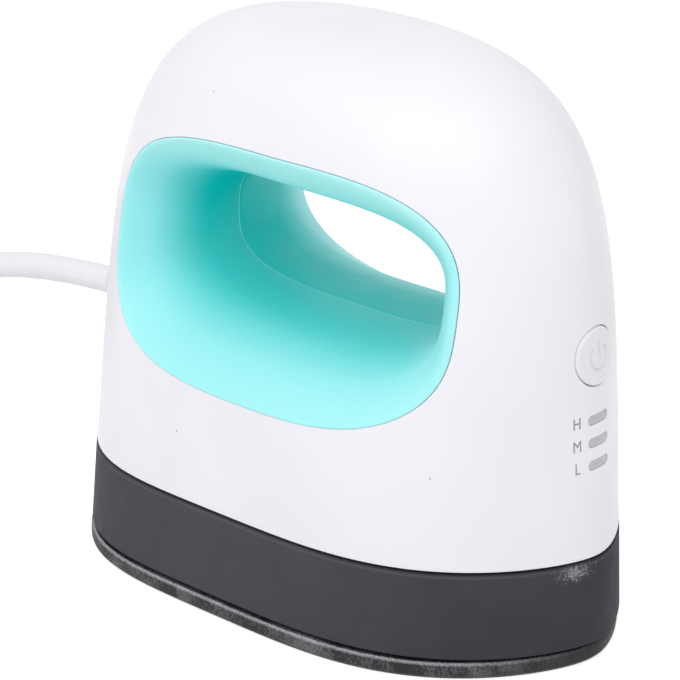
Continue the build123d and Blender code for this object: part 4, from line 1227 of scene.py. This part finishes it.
@dataclass
class UpperShell:
    """The white domed moulding, with its openings and printed letters."""

    form: BodyForm
    grip: GripForm
    wall: float = 2.2
    edge: float = 0.3
    edge_steps: int = 3
    wall_rings: int = 96
    mouth_gap: float = 0.03
    liner_clearance: float = 0.1
    liner_wall: float = 1.8
    button_height: float = 53.2
    bore_radius: float = 5.0
    lamp_heights: tuple[float, ...] = (42.8, 38.95, 35.1)
    slot_half_length: float = 2.63
    slot_half_height: float = 0.88
    cord_height: float = 38.2
    cord_hole_radius: float = 3.65
    cut_inside: float = 12.0
    cut_outside: float = 5.0
    letters: tuple[str, ...] = ("H", "M", "L")
    letter_y: float = -4.8
    letter_size: float = 2.75
    letter_narrow: float = 0.8
    ink: float = 0.03

    def build(self) -> None:
        """Makes the shell and its letters."""
        piece = make_piece(self.dome(), "shell_moulding", SHELL_WHITE, "upper_shell")
        grown = self.liner_wall + self.liner_clearance
        cut_away(piece, [self.grip.tunnel(-self.mouth_gap, grown), *self.small_holes()], sharp=40)
        shade_by_form(piece, self.form)
        for letter, height in zip(self.letters, self.lamp_heights):
            self.print_letter(letter, height)

    def dome(self) -> Skin:
        """Makes the moulding's wall.

        Returns:
            The closed skin, from its crown down and up inside.
        """
        outer = self.form.wall_heights(self.wall_rings)
        inner = self.form.wall_heights(self.wall_rings // 2, self.wall)
        seam = self.form.seam_height
        rings = [self.form.ring(height) for height in reversed(outer) if height > seam + self.edge]
        rings += [self.form.ring(seam + rise, inset) for inset, rise in quarter_round(self.edge, self.edge_steps)]
        rings += [self.form.ring(height, self.wall) for height in inner]
        return skin_over(rings, End.POINT)

    def small_holes(self) -> list[Skin]:
        """Makes the cutters of the small openings.

        Returns:
            The button's bore, the cord's hole and the windows.
        """
        start, end = self.form.half_length - self.cut_inside, self.form.half_length + self.cut_outside
        bore = tube([(x, self.bore_radius) for x in (start, end)], 0, self.button_height, LARGE)
        hole = tube([(x, self.cord_hole_radius) for x in (-end, -start)], 0, self.cord_height, LARGE)
        slots = [[self.slot_ring(x, height, 0.0) for x in (start, end)] for height in self.lamp_heights]
        return [skin_over(rings) for rings in (bore, hole, *slots)]

    def slot_ring(self, x: float, height: float, inset: float) -> Ring:
        """Makes a window's outline.

        Args:
            x: Where it lies.
            height: The window's middle.
            inset: How far it is drawn in.

        Returns:
            The ring.
        """
        half_height = self.slot_half_height - inset
        flat = rounded_box(self.slot_half_length - inset, half_height, half_height * NEARLY, MIDDLE)
        return [Vector((x, point.x, height + point.y)) for point in flat]

    def print_letter(self, letter: str, height: float) -> None:
        """Prints one letter on the nose, beside its window.

        Args:
            letter: The letter.
            height: How high its middle lies.
        """
        curve = bpy.data.curves.new("letter", "FONT")
        curve.body = letter
        curve.size = self.letter_size * MM
        curve.align_x = curve.align_y = "CENTER"
        text = put("letter", curve)
        flat = baked(text)
        bpy.data.objects.remove(text)
        skin = bmesh.new()
        skin.from_mesh(flat)
        bpy.data.meshes.remove(flat)
        bmesh.ops.remove_doubles(skin, verts=skin.verts, dist=WELD)
        made = bmesh.ops.extrude_face_region(skin, geom=list(skin.faces))["geom"]
        top = {part for part in made if isinstance(part, bmesh.types.BMVert)}
        for vert in skin.verts:
            y = self.letter_y + vert.co.x / MM * self.letter_narrow
            z = height + vert.co.y / MM
            lift = self.ink if vert in top else -self.ink
            vert.co = Vector((self.form.nose_at(y, z) + lift, y, z)) * MM
        bmesh.ops.recalc_face_normals(skin, faces=skin.faces)
        make_piece(skin, f"print_{letter}", PRINT_GREY)


# ---- Grip liner ----------------------------------------------------------------------


@dataclass
class GripLiner:
    """Two aqua funnels with round lips that meet in the middle plane."""

    grip: GripForm
    wall: float = 1.8
    land: float = 0.8
    front_land: float = 1.78
    lip_edge: float = 0.25
    lip_share: float = 0.738
    lip_steps: int = 24
    parting_gap: float = 0.04
    parting_edge: float = 0.16
    parting_steps: int = 3
    back_end: float = 0.97
    back_turn: float = 0.975
    back_steps: int = 14
    front_steps: int = 28

    def build(self) -> None:
        """Makes both halves."""
        for side, half in ((-1, "near"), (1, "far")):
            make_piece(self.half(side), f"liner_{half}", LINER_TEAL, f"grip_liner_{half}", sharp=60)

    def half(self, side: int) -> Skin:
        """Makes the closed funnel wall of the half at -1, the near one, or at 1, the far one."""
        rings = [list(ring) for ring in zip(*(self.profile(angle, side) for angle in self.grip.angles()))]
        return skin_over(rings + [rings[0]], End.JOINED)

    def profile(self, angle: float, side: int) -> list[Vector]:
        """Draws the wall's section: up the back, over the lip and down the funnel.

        Args:
            angle: Which way it lies round the opening.
            side: -1 for the near half, and 1 for the far one.

        Returns:
            The section's points.
        """
        land = between(self.land, self.front_land, ((1 + math.cos(angle)) / 2) ** 2)
        back = partial(self.grip.point, angle, side=side, land=0.0, wall=self.wall)
        front = partial(self.grip.point, angle, side=side, land=land, wall=0.0)
        gap = Vector((0, side * self.parting_gap / 2, 0))
        points = [back(step / self.back_steps * self.back_end) for step in range(self.back_steps + 1)]
        points[0] = points[0] + gap
        rim, corner = back(1.0), front(1.0)
        over = rim + (corner - rim).normalized() * self.lip_edge
        points += bend(back(self.back_turn), rim, over)
        points += bend(over, corner, front(self.lip_share), self.lip_steps)[1:]
        edge = self.parting_edge / abs(corner.y)
        for step in range(1, self.front_steps + 1):
            points.append(front(self.lip_share + (edge - self.lip_share) * step / self.front_steps))
        throat = front(0.0)
        outward = (throat - Vector((self.grip.throat_x, 0, self.grip.throat_height))).normalized()
        last = throat + gap + outward * self.parting_edge
        return points + bend(points[-1], throat + gap, last, self.parting_steps)[1:]


# ---- Skirt and plate -----------------------------------------------------------------


@dataclass
class BaseSkirt:
    """The dark band between the shell and the plate, with its inner floor."""

    form: BodyForm
    bottom: float = 3.8
    top: float = 18.55
    half_length: float = 53.0
    half_width: float = 31.8
    draft_length: float = 1.0
    draft_width: float = 0.7
    wall: float = 2.2
    top_edge: float = 0.4
    bottom_edge: float = 0.3
    inner_edge: float = 0.2
    edge_steps: int = 5
    side_shares: tuple[float, ...] = (0.75, 0.5, 0.25)
    floor_under: float = 12.0
    floor_over: float = 14.0

    def build(self) -> None:
        """Makes the skirt, from its floor up inside, down outside and back up under the floor."""
        stations = [(self.floor_over, self.wall), (self.top - self.inner_edge, self.wall)]
        stations += [(self.top - fall, inset) for fall, inset in quarter_round(self.top_edge, self.edge_steps)]
        stations += [(between(self.bottom, self.top, share), 0.0) for share in self.side_shares]
        lower = reversed(quarter_round(self.bottom_edge, self.edge_steps))
        stations += [(self.bottom + rise, inset) for rise, inset in lower]
        stations += [(self.bottom + self.inner_edge, self.wall), (self.floor_under, self.wall)]
        skin = skin_over([self.ring(height, inset) for height, inset in stations])
        make_piece(skin, "skirt_moulding", SKIRT_GREY, "base_skirt", sharp=50)

    def ring(self, height: float, inset: float) -> Ring:
        """Makes the skirt's ring at one height.

        Args:
            height: How high it lies.
            inset: How far it is drawn in, on top of the draft.

        Returns:
            The ring.
        """
        share = (height - self.bottom) / (self.top - self.bottom)
        half_length = self.half_length - share * self.draft_length - inset
        return self.form.outline(height, half_length, self.half_width - share * self.draft_width - inset)


@dataclass
class HeatingPlate:
    """The coated plate: a flat face, a bevelled rim and the pad inside."""

    form: BodyForm
    half_length: float = 53.0
    half_width: float = 32.2
    nose_step: float = 0.5
    rim: float = 3.1
    bevel: float = 0.8
    top_bevel: float = 0.5
    soften: float = 0.2
    pad_inset: float = 7.0
    pad_top: float = 5.4

    def build(self) -> None:
        """Makes the plate."""
        sharp = [Vector((inset, height, 0)) for inset, height in (
            (self.pad_inset, 0), (self.bevel, 0), (0, self.bevel), (0, self.rim - self.top_bevel),
            (self.top_bevel, self.rim), (self.pad_inset, self.rim),
        )]
        line = [sharp[0]]
        for before, corner, after in zip(sharp, sharp[1:], sharp[2:]):
            start = corner + (before - corner).normalized() * self.soften
            end = corner + (after - corner).normalized() * self.soften
            line += bend(start, corner, end)
        line += [sharp[-1], Vector((self.pad_inset, self.pad_top, 0))]
        rings = [self.ring(point.y, point.x) for point in line]
        make_piece(skin_over(rings), "plate_casting", PLATE_COATING, "heating_plate", sharp=60)

    def ring(self, height: float, inset: float) -> Ring:
        """Makes the plate's ring at one height, drawn in by an inset."""
        return self.form.outline(height, self.half_length - inset, self.half_width - inset, nose_step=self.nose_step)


# ---- Button and windows --------------------------------------------------------------


@dataclass
class PowerButton:
    """The round button, with an engraved power symbol."""

    form: BodyForm
    height: float = 53.2
    radius: float = 4.82
    proud: float = 0.35
    edge: float = 0.5
    flange_radius: float = 6.3
    flange_rear: float = 43.7
    flange_front: float = 44.9
    centre: float = 0.15
    face_shares: tuple[float, ...] = (0.25, 0.5, 0.75, 0.9, 1.0)
    edge_steps: int = 6
    symbol_radius: float = 2.12
    symbol_gap: float = 42.0
    symbol_steps: int = 48
    bar_bottom: float = -0.4
    bar_top: float = 2.6
    bar_steps: int = 10
    stroke: float = 0.25
    depth: float = 0.32
    tip: float = 0.45

    def build(self) -> None:
        """Makes the cap and cuts its symbol, an arc that is open at the top and a bar."""
        piece = make_piece(self.cap(), "button_cap", BUTTON_WHITE, "power_button", 45, Body.BUTTON)
        turns = [(360 - 2 * self.symbol_gap) * step / self.symbol_steps for step in range(self.symbol_steps + 1)]
        angles = [math.radians(90 + self.symbol_gap + turn) for turn in turns]
        arc = [(self.symbol_radius * math.cos(angle), self.symbol_radius * math.sin(angle)) for angle in angles]
        tall = self.bar_top - self.bar_bottom
        bar = [(0.0, self.bar_bottom + tall * step / self.bar_steps) for step in range(self.bar_steps + 1)]
        cut_away(piece, [self.bead(arc), self.bead(bar)], sharp=45)

    def face_at(self, y: float, z: float) -> Vector:
        """Gives the cap's front at one place, measured from its centre."""
        return Vector((self.form.nose_at(y, self.height + z) + self.proud, y, self.height + z))

    def cap(self) -> Skin:
        """Makes the cap.

        Returns:
            A bowed face, a rounded edge, a side and a flange, in one skin.
        """
        flat = self.radius - self.edge
        stations = [(self.centre, 0.0)] + [(share * flat, 0.0) for share in self.face_shares]
        stations += [(self.radius - inset, drop) for drop, inset in quarter_round(self.edge, self.edge_steps)[1:]]
        rings = []
        for radius, drop in stations:
            ring = [self.face_at(radius * math.cos(angle), radius * math.sin(angle)) for angle in turns(LARGE)]
            rings.append([point - Vector((drop, 0, 0)) for point in ring])
        flange = (
            (self.flange_front, self.radius), (self.flange_front, self.flange_radius),
            (self.flange_rear, self.flange_radius),
        )
        return skin_over(rings + tube(flange, 0, self.height, LARGE), End.POINT, End.FLAT)

    def bead(self, path: Sequence[tuple[float, float]]) -> Skin:
        """Lays a bead along a path on the cap's face, as a cutter.

        Args:
            path: Points across and up from the cap's centre.

        Returns:
            The bead's skin.
        """
        places = [self.face_at(y, z) for y, z in path]
        rings = []
        for index, place in enumerate(places):
            before, after = places[max(index - 1, 0)], places[min(index + 1, len(places) - 1)]
            along = (after - before).normalized()
            out = self.form.slope(place - Vector((self.proud, 0, 0))).normalized()
            taper = self.tip if index in (0, len(places) - 1) else 1.0
            across = along.cross(out).normalized()
            rings.append(round_ring(place, across, out, TINY, self.stroke * taper, self.depth * taper))
        return skin_over(rings, End.POINT)


@dataclass
class IndicatorWindows:
    """The light guide: a plate with three bars that fill the windows, and two pins."""

    shell: UpperShell
    gap: float = 0.08
    recess: float = 0.15
    edge: float = 0.12
    edge_start: float = 0.03
    face_insets: tuple[float, ...] = (0.75, 0.5, 0.25)
    plate_rear: float = 41.4
    plate_front: float = 42.9
    plate_half_width: float = 4.75
    plate_half_height: float = 6.05
    plate_corner: float = 1.0
    pin_rear: float = 37.5
    pin_radius: float = 0.9
    pin_spacing: float = 7.4

    def build(self) -> None:
        """Makes the guide as one moulding."""
        middle = self.shell.lamp_heights[1]
        flat = rounded_box(self.plate_half_width, self.plate_half_height, self.plate_corner, MIDDLE)
        rings = [[Vector((x, p.x, middle + p.y)) for p in flat] for x in (self.plate_rear, self.plate_front)]
        parts = [self.bar(height) for height in self.shell.lamp_heights] + [skin_over(rings)]
        pin = [(x, self.pin_radius) for x in (self.pin_rear, self.plate_rear)]
        parts += [skin_over(tube(pin, side * self.pin_spacing / 2, middle, SMALL)) for side in (-1, 1)]
        skin = bmesh.new()
        for part in parts:
            mesh = mesh_of(part, "part")
            skin.from_mesh(mesh)
            bpy.data.meshes.remove(mesh)
        make_piece(skin, "window_guide", WINDOW_GREY, "light_guide")

    def bar(self, height: float) -> Skin:
        """Makes one bar, whose end follows the shell just under its surface.

        Args:
            height: How high its middle lies.

        Returns:
            The bar's skin.
        """
        rings = []
        face = [(inset, 0.0) for inset in (*self.face_insets, self.edge)]
        for inset, drop in (*face, (self.edge_start, self.edge_start), (0.0, self.edge)):
            ring = self.shell.slot_ring(0.0, height, inset + self.gap)
            for point in ring:
                point.x = self.shell.form.nose_at(point.y, point.z) - self.recess - drop
            rings.append(ring)
        return skin_over(rings + [self.shell.slot_ring(self.plate_front, height, self.gap)])


# ---- Cord, its coil, tie and plug ----------------------------------------------------


@dataclass
class MainsCord:
    """The cord from the rear to its plug, put away in a tied coil."""

    diameter: float = 5.0
    height: float = 38.2
    jacket_end: float = -35.0
    exit_x: float = -57.6
    coil_x: float = -172.0
    coil_y: float = 9.3
    inner_radius: float = 23.3
    turns_across: int = 3
    layers: int = 3
    points_per_turn: int = 16
    shift_turn: float = 0.583
    shift_span: float = 0.11
    length: float = 1.8
    plug_turn: float = 35.0
    plug_lift: float = 6.0
    tail_run: float = 9.0
    tail_drop: float = 1.2
    tail_lead: float = 2.5
    tie_angle: float = 60.0
    tie_half_width: float = 3.0
    tie_thickness: float = 1.0
    tie_edge: float = 0.2
    floor_gap: float = 0.02

    def route(self) -> list[tuple[float, float, float]]:
        """Lists the stretch that isn't coiled.

        Returns:
            Its points, from the relief to the coil.
        """
        low = self.diameter / 2
        return [
            (self.jacket_end, 0, self.height), (-65.5, 0, self.height), (-96, -2.5, 32), (-121, -10, 15.5),
            (-141, -18.5, low), (-158, -23.6, low), (-171, -24, low),
        ]

    def track(self, turn: int) -> tuple[float, float]:
        """Finds where one turn lies.

        Args:
            turn: Its number, from 0.

        Returns:
            The radius and height that it keeps.
        """
        layer, place = divmod(turn, self.turns_across)
        if layer >= self.layers:
            return self.inner_radius, (self.layers + 0.5) * self.diameter
        inwards = place if layer % 2 == 0 else self.turns_across - 1 - place
        radius = self.inner_radius + (self.turns_across - 1 - inwards) * self.diameter
        return radius, (layer + 0.5) * self.diameter

    def coil(self) -> list[tuple[float, float, float]]:
        """Winds the turns, which step in, out and in again, layer by layer.

        Returns:
            The points, from the end of the route.
        """
        bulge = 1 / math.cos(math.pi / self.points_per_turn)
        points = []
        for step in range(1, self.turns_across * self.layers * self.points_per_turn + 1):
            wound = step / self.points_per_turn
            turn = math.floor(wound - self.shift_turn) + 1
            share = smooth_step((wound - self.shift_turn - (turn - 1)) / self.shift_span)
            before, now = self.track(max(turn - 1, 0)), self.track(turn)
            radius = bulge * between(before[0], now[0], share)
            angle = -QUARTER_TURN - FULL_TURN * wound
            x, y = self.coil_x + radius * math.cos(angle), self.coil_y + radius * math.sin(angle)
            points.append((x, y, between(before[1], now[1], share)))
        return points

    def build(self) -> None:
        """Makes the cord and what is on it."""
        relief, tie = self.strain_relief(), self.tie()
        plug = MainsPlug(self.plug_place(), self.plug_axis())
        plug_body = plug.build()
        curve = bpy.data.curves.new("mains_cord", "CURVE")
        curve.dimensions = "3D"
        curve.bevel_depth = self.diameter / 2 * MM
        curve.bevel_resolution = curve.resolution_u = 6
        curve.use_fill_caps = True
        spline = curve.splines.new("NURBS")
        end = self.plug_place() + self.plug_axis() * plug.cord_overlap
        points = self.route() + self.coil()[:-2] + self.tail() + [tuple(end)]
        spline.points.add(len(points) - 1)
        for target, (x, y, z) in zip(spline.points, points):
            target.co = (x * MM, y * MM, z * MM, 1.0)
        spline.order_u = 3
        spline.use_endpoint_u = True
        cord = put("mains_cord", curve)
        curve.materials.append(CORD_WHITE.paint())
        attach(cord, Body.HOUSING.value)
        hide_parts("power_cord", "cord_coil")
        log.info("mains_cord: %d route points", len(points))

    def plug_axis(self) -> Vector:
        """Gives the direction from the plug's relief to its blades."""
        turn = math.radians(self.plug_turn)
        return Vector((-math.cos(turn), math.sin(turn), 0))

    def plug_place(self) -> Vector:
        """Gives the end of the plug's relief, on top of the inner turn."""
        return Vector((self.coil_x, self.coil_y - self.inner_radius, self.layers * self.diameter + self.plug_lift))

    def tail(self) -> list[tuple[float, float, float]]:
        """Leads the last turn up into the plug.

        Returns:
            The two points that end the cord.
        """
        place, axis = self.plug_place(), self.plug_axis()
        start = place - axis * self.tail_run + Vector((0, 0, -self.tail_drop))
        return [tuple(start), tuple(place - axis * self.tail_lead)]

    def strain_relief(self) -> Piece:
        """Makes the sleeve with its tapered nose, spun about the cord from pairs of X and radius.

        Returns:
            The piece.
        """
        wall, inner_end = self.diameter / 2 + 0.1, self.jacket_end - 1
        profile = (
            (self.exit_x, wall), (self.exit_x + 0.1, 2.9), (self.exit_x + 0.5, 3.3), (-53.0, 4.2),
            (-52.1, 4.45), (-51.75, 4.3), (-51.75, 3.5), (-47.6, 3.5), (-47.6, 5.0), (-46.4, 5.0),
            (-46.4, 3.5), (inner_end, 3.5), (inner_end, wall), (self.exit_x, wall),
        )
        skin = skin_over(tube(profile, 0, self.height, MIDDLE), End.JOINED)
        return make_piece(skin, "relief_sleeve", CORD_WHITE, "strain_relief", sharp=35)

    def tie(self) -> Piece:
        """Makes the strap that goes once round the coil's bundle.

        Returns:
            The piece.
        """
        half_across, tall = self.turns_across * self.diameter / 2, self.layers * self.diameter
        angle = math.radians(self.tie_angle)
        out = Vector((math.cos(angle), math.sin(angle), 0))
        along = Vector((-out.y, out.x, 0))
        middle = Vector((self.coil_x, self.coil_y, 0)) + out * (self.inner_radius + half_across - self.diameter / 2)
        thick, half, edge = self.tie_thickness, self.tie_half_width, self.tie_edge
        stations = (
            (half - edge, 0.0), (half, edge), (half, thick - edge), (half - edge, thick), (edge - half, thick),
            (-half, thick - edge), (-half, edge), (edge - half, 0.0), (half - edge, 0.0),
        )
        rings = []
        for shift, lift in stations:
            ring = []
            for point in rounded_box(half_across + lift, (tall - thick) / 2 + lift, self.diameter / 2 + lift, LARGE):
                height = max(point.y + (tall + thick) / 2, self.floor_gap)
                ring.append(middle + out * point.x + along * shift + Vector((0, 0, height)))
            rings.append(ring)
        return make_piece(skin_over(rings, End.JOINED), "coil_strap", TIE_BLACK, "cord_tie", sharp=50)


@dataclass
class MainsPlug:
    """A moulded two-pin plug with a ribbed relief."""

    place: Vector
    axis: Vector
    relief_length: float = 14.0
    shoulder: float = 5.0
    shoulder_steps: int = 8
    length: float = 24.0
    width: float = 21.0
    height: float = 12.0
    corner: float = 4.0
    face_edge: float = 0.8
    face_steps: int = 4
    relief_tip: float = 3.1
    tip_edge: float = 0.35
    relief_root: float = 4.5
    ribs: int = 5
    neck_start: float = 0.8
    neck_end: float = 0.3
    neck_grown: tuple[float, float] = (0.3, 0.1)
    shoulder_grown: tuple[float, float] = (1.5, 0.5)
    rib_start: float = 0.3
    rib_room: float = 1.5
    rib_depth: float = 0.55
    rib_shape: tuple[tuple[float, float], ...] = (
        (0.04, 0.12), (0.12, 0.0), (0.5, 0.0), (0.58, 0.15), (0.64, 1.0), (0.94, 1.0)
    )
    grip_depth: float = 1.1
    grip_steps: int = 13
    cord_overlap: float = 4.0

    def stations(self) -> list[tuple[float, float, float, float]]:
        """Lists the plug's sections: its relief with ribs, its neck, shoulder, grip and face.

        Returns:
            Rows of half width, half height, corner and distance along the plug.
        """
        tip, root = self.relief_tip, self.relief_root
        rounds = [(tip - self.tip_edge, 0.0)]
        pitch = (self.relief_length - self.rib_room) / self.ribs
        for rib in range(self.ribs):
            radius = tip + (root - tip) * rib / (self.ribs - 1)
            for share, drop in self.rib_shape:
                rounds.append((radius - drop * self.rib_depth, self.rib_start + pitch * (rib + share)))
        rounds.append((root, self.relief_length - self.neck_start))
        rows = [(size, size, size, distance) for size, distance in rounds]
        wide, high = self.neck_grown
        rows.append((root + wide, root + high, root, self.relief_length - self.neck_end))
        full, half = self.width / 2, self.height / 2
        wide, high = (root + grown for grown in self.shoulder_grown)
        for step in range(1, self.shoulder_steps + 1):
            angle = QUARTER_TURN * (step / self.shoulder_steps)
            grown, distance = math.sin(angle), self.relief_length + self.shoulder * (1 - math.cos(angle))
            rows.append((between(wide, full, grown), between(high, half, grown), self.corner, distance))
        start, end = self.relief_length + self.shoulder, self.relief_length + self.length
        for step in range(1, self.grip_steps):
            share = step / self.grip_steps
            waist = self.grip_depth * math.sin(math.pi * share) ** 2
            rows.append((full - waist, half, self.corner, start + (end - start - self.face_edge) * share))
        for inset, short in quarter_round(self.face_edge, self.face_steps):
            rows.append((full - inset, half - inset, self.corner - inset, end - short))
        return rows

    def build(self) -> Piece:
        """Makes the plug's moulding.

        Returns:
            The piece.
        """
        across = Vector((-self.axis.y, self.axis.x, 0))
        rings = []
        for half_width, half_height, corner, distance in self.stations():
            corner = min(corner, half_width, half_height) * NEARLY
            start = self.place + self.axis * distance
            flat = rounded_box(half_width, half_height, corner, LARGE)
            rings.append([start + across * point.x + Vector((0, 0, point.y)) for point in flat])
        return make_piece(skin_over(rings), "plug_moulding", CORD_WHITE, "mains_plug")


# ---- What the housing holds ----------------------------------------------------------


class InnerWorks:
    """The CAD nodes that keep their own shape and take a finish."""

    def dress(self) -> None:
        """Paints each shown node by its material slot."""
        slots = {row["node"]: row["material_slot"] for row in frame["record"]["subparts"]}
        for name, node in frame["nodes"].items():
            if node.hide_render:
                continue
            node.data.materials.clear()
            node.data.materials.append(KEPT_FINISHES[slots[name]].paint())
            log.info("%s: dressed as %s", name, slots[name])


# ---- Studio --------------------------------------------------------------------------


@dataclass(frozen=True)
class Softbox:
    """A square lamp that looks at the press."""

    name: str
    azimuth: float
    elevation: float
    distance: float
    size: float
    power: float


@dataclass
class Studio:
    """The camera, the floor, the lamp and the plain white world."""

    image_size: float = 680.0
    sensor: float = 36.0
    focal_pixels: float = 2763.223
    distance: float = 466.406
    azimuth: float = 39.1835
    elevation: float = 20.9563
    roll: float = 1.4516
    aim_height: float = 55.0
    aim_pixel: tuple[float, float] = (360.279, 269.465)
    clip: tuple[float, float] = (0.01, 20.0)
    world_light: float = 0.7
    floor_light: float = 0.6
    floor_size: float = 6000.0
    floor_grain: float = 1.5
    floor_colour: str = "#F2F2F2"
    key: Softbox = Softbox("key", 20.0, 50.0, 900.0, 700.0, 3.3)

    def build(self) -> None:
        """Sets up everything that isn't the press."""
        self.place_camera()
        self.lay_floor()
        self.light_world()
        self.hang(self.key)
        bpy.context.scene.view_settings.view_transform = "Standard"

    def aim(self) -> Vector:
        """Gives the place that the camera and the lamp look at."""
        return Vector((0, 0, self.aim_height))

    def direction(self, azimuth: float, elevation: float) -> Vector:
        """Gives the direction from the press at one azimuth and elevation."""
        turn, lift = math.radians(azimuth), math.radians(elevation)
        return Vector((math.sin(turn) * math.cos(lift), -math.cos(turn) * math.cos(lift), math.sin(lift)))

    def place_camera(self) -> None:
        """Makes the camera, turned so that its aim falls on its own pixel."""
        camera = bpy.data.cameras.new("camera")
        camera.sensor_width = self.sensor
        camera.lens = self.focal_pixels * self.sensor / self.image_size
        camera.clip_start, camera.clip_end = self.clip
        outward = self.direction(self.azimuth, self.elevation)
        right = UP.cross(outward).normalized()
        up = outward.cross(right)
        tilt = Matrix.Rotation(math.radians(-self.roll), 3, -outward)
        right, up = tilt @ right, tilt @ up
        pan, nod = (math.atan((p - self.image_size / 2) / self.focal_pixels) for p in self.aim_pixel)
        turned = Matrix.Rotation(pan, 3, up)
        back, right = turned @ outward, turned @ right
        nodded = Matrix.Rotation(nod, 3, right)
        back, up = nodded @ back, nodded @ up
        place = (self.aim() + outward * self.distance) * MM
        rig = put("camera", camera)
        rig.matrix_world = Matrix((*zip(right, up, back, place), (0, 0, 0, 1)))
        bpy.context.scene.camera = rig

    def lay_floor(self) -> None:
        """Lays a white floor that shows white to the camera and keeps soft shadows."""
        skin = bmesh.new()
        bmesh.ops.create_grid(skin, x_segments=1, y_segments=1, size=self.floor_size / 2 * MM)
        floor = put("floor", mesh_of(skin, "floor"))
        material = bpy.data.materials.new("studio_paper")
        tree = clear_tree(material)
        grain = add_node(tree, "TexNoise", {"Scale": per_size(self.floor_grain), "Detail": 3.0}).outputs["Fac"]
        paper = add_node(tree, "BsdfDiffuse", {"Color": linear(self.floor_colour), "Roughness": grain})
        strength = self.white_seen(tree, self.floor_light)
        lift = add_node(tree, "Emission", {"Color": WHITE, "Strength": strength})
        both = add_node(tree, "AddShader", {0: paper.outputs[0], 1: lift.outputs[0]})
        add_node(tree, "OutputMaterial", {"Surface": both.outputs[0]})
        floor.data.materials.append(material)

    def white_seen(self, tree: Tree, strength: float, elsewhere: float = 0.0) -> Socket:
        """Gives a strength to what the camera, mirrors and glass see, and another elsewhere.

        Args:
            tree: The node tree of the floor or the world.
            strength: What is seen.
            elsewhere: What lights everything else.

        Returns:
            The strength.
        """
        paths = add_node(tree, "LightPath").outputs
        seen = paths["Is Camera Ray"]
        for name in ("Is Glossy Ray", "Is Transmission Ray"):
            seen = add_node(tree, "Math", {0: seen, 1: paths[name]}, operation="MAXIMUM").outputs[0]
        return add_node(tree, "MapRange", {"Value": seen, "To Min": elsewhere, "To Max": strength}).outputs["Result"]

    def light_world(self) -> None:
        """Makes the world an even light that is seen as white."""
        world = bpy.data.worlds.new("studio")
        tree = clear_tree(world)
        strength = self.white_seen(tree, 1.0, self.world_light)
        sky = add_node(tree, "Background", {"Color": WHITE, "Strength": strength})
        add_node(tree, "OutputWorld", {"Surface": sky.outputs[0]})
        bpy.context.scene.world = world

    def hang(self, lamp: Softbox) -> None:
        """Hangs one lamp, turned to the press.

        Args:
            lamp: The lamp.
        """
        data = bpy.data.lights.new(lamp.name, "AREA")
        data.shape, data.size, data.energy = "SQUARE", lamp.size * MM, lamp.power
        outward = self.direction(lamp.azimuth, lamp.elevation)
        turn = outward.to_track_quat("Z", "Y").to_matrix().to_4x4()
        put(lamp.name, data).matrix_world = Matrix.Translation((self.aim() + outward * lamp.distance) * MM) @ turn


def main() -> None:
    """Builds the press and its studio."""
    logging.basicConfig(level=logging.INFO, format="%(name)s %(message)s")
    Studio().build()
    MainsCord().build()
    form = BodyForm()
    grip = GripForm(form)
    shell = UpperShell(form, grip)
    shell.build()
    GripLiner(grip).build()
    BaseSkirt(form).build()
    HeatingPlate(form).build()
    PowerButton(form).build()
    IndicatorWindows(shell).build()
    InnerWorks().dress()


if __name__ == "__main__":
    main()
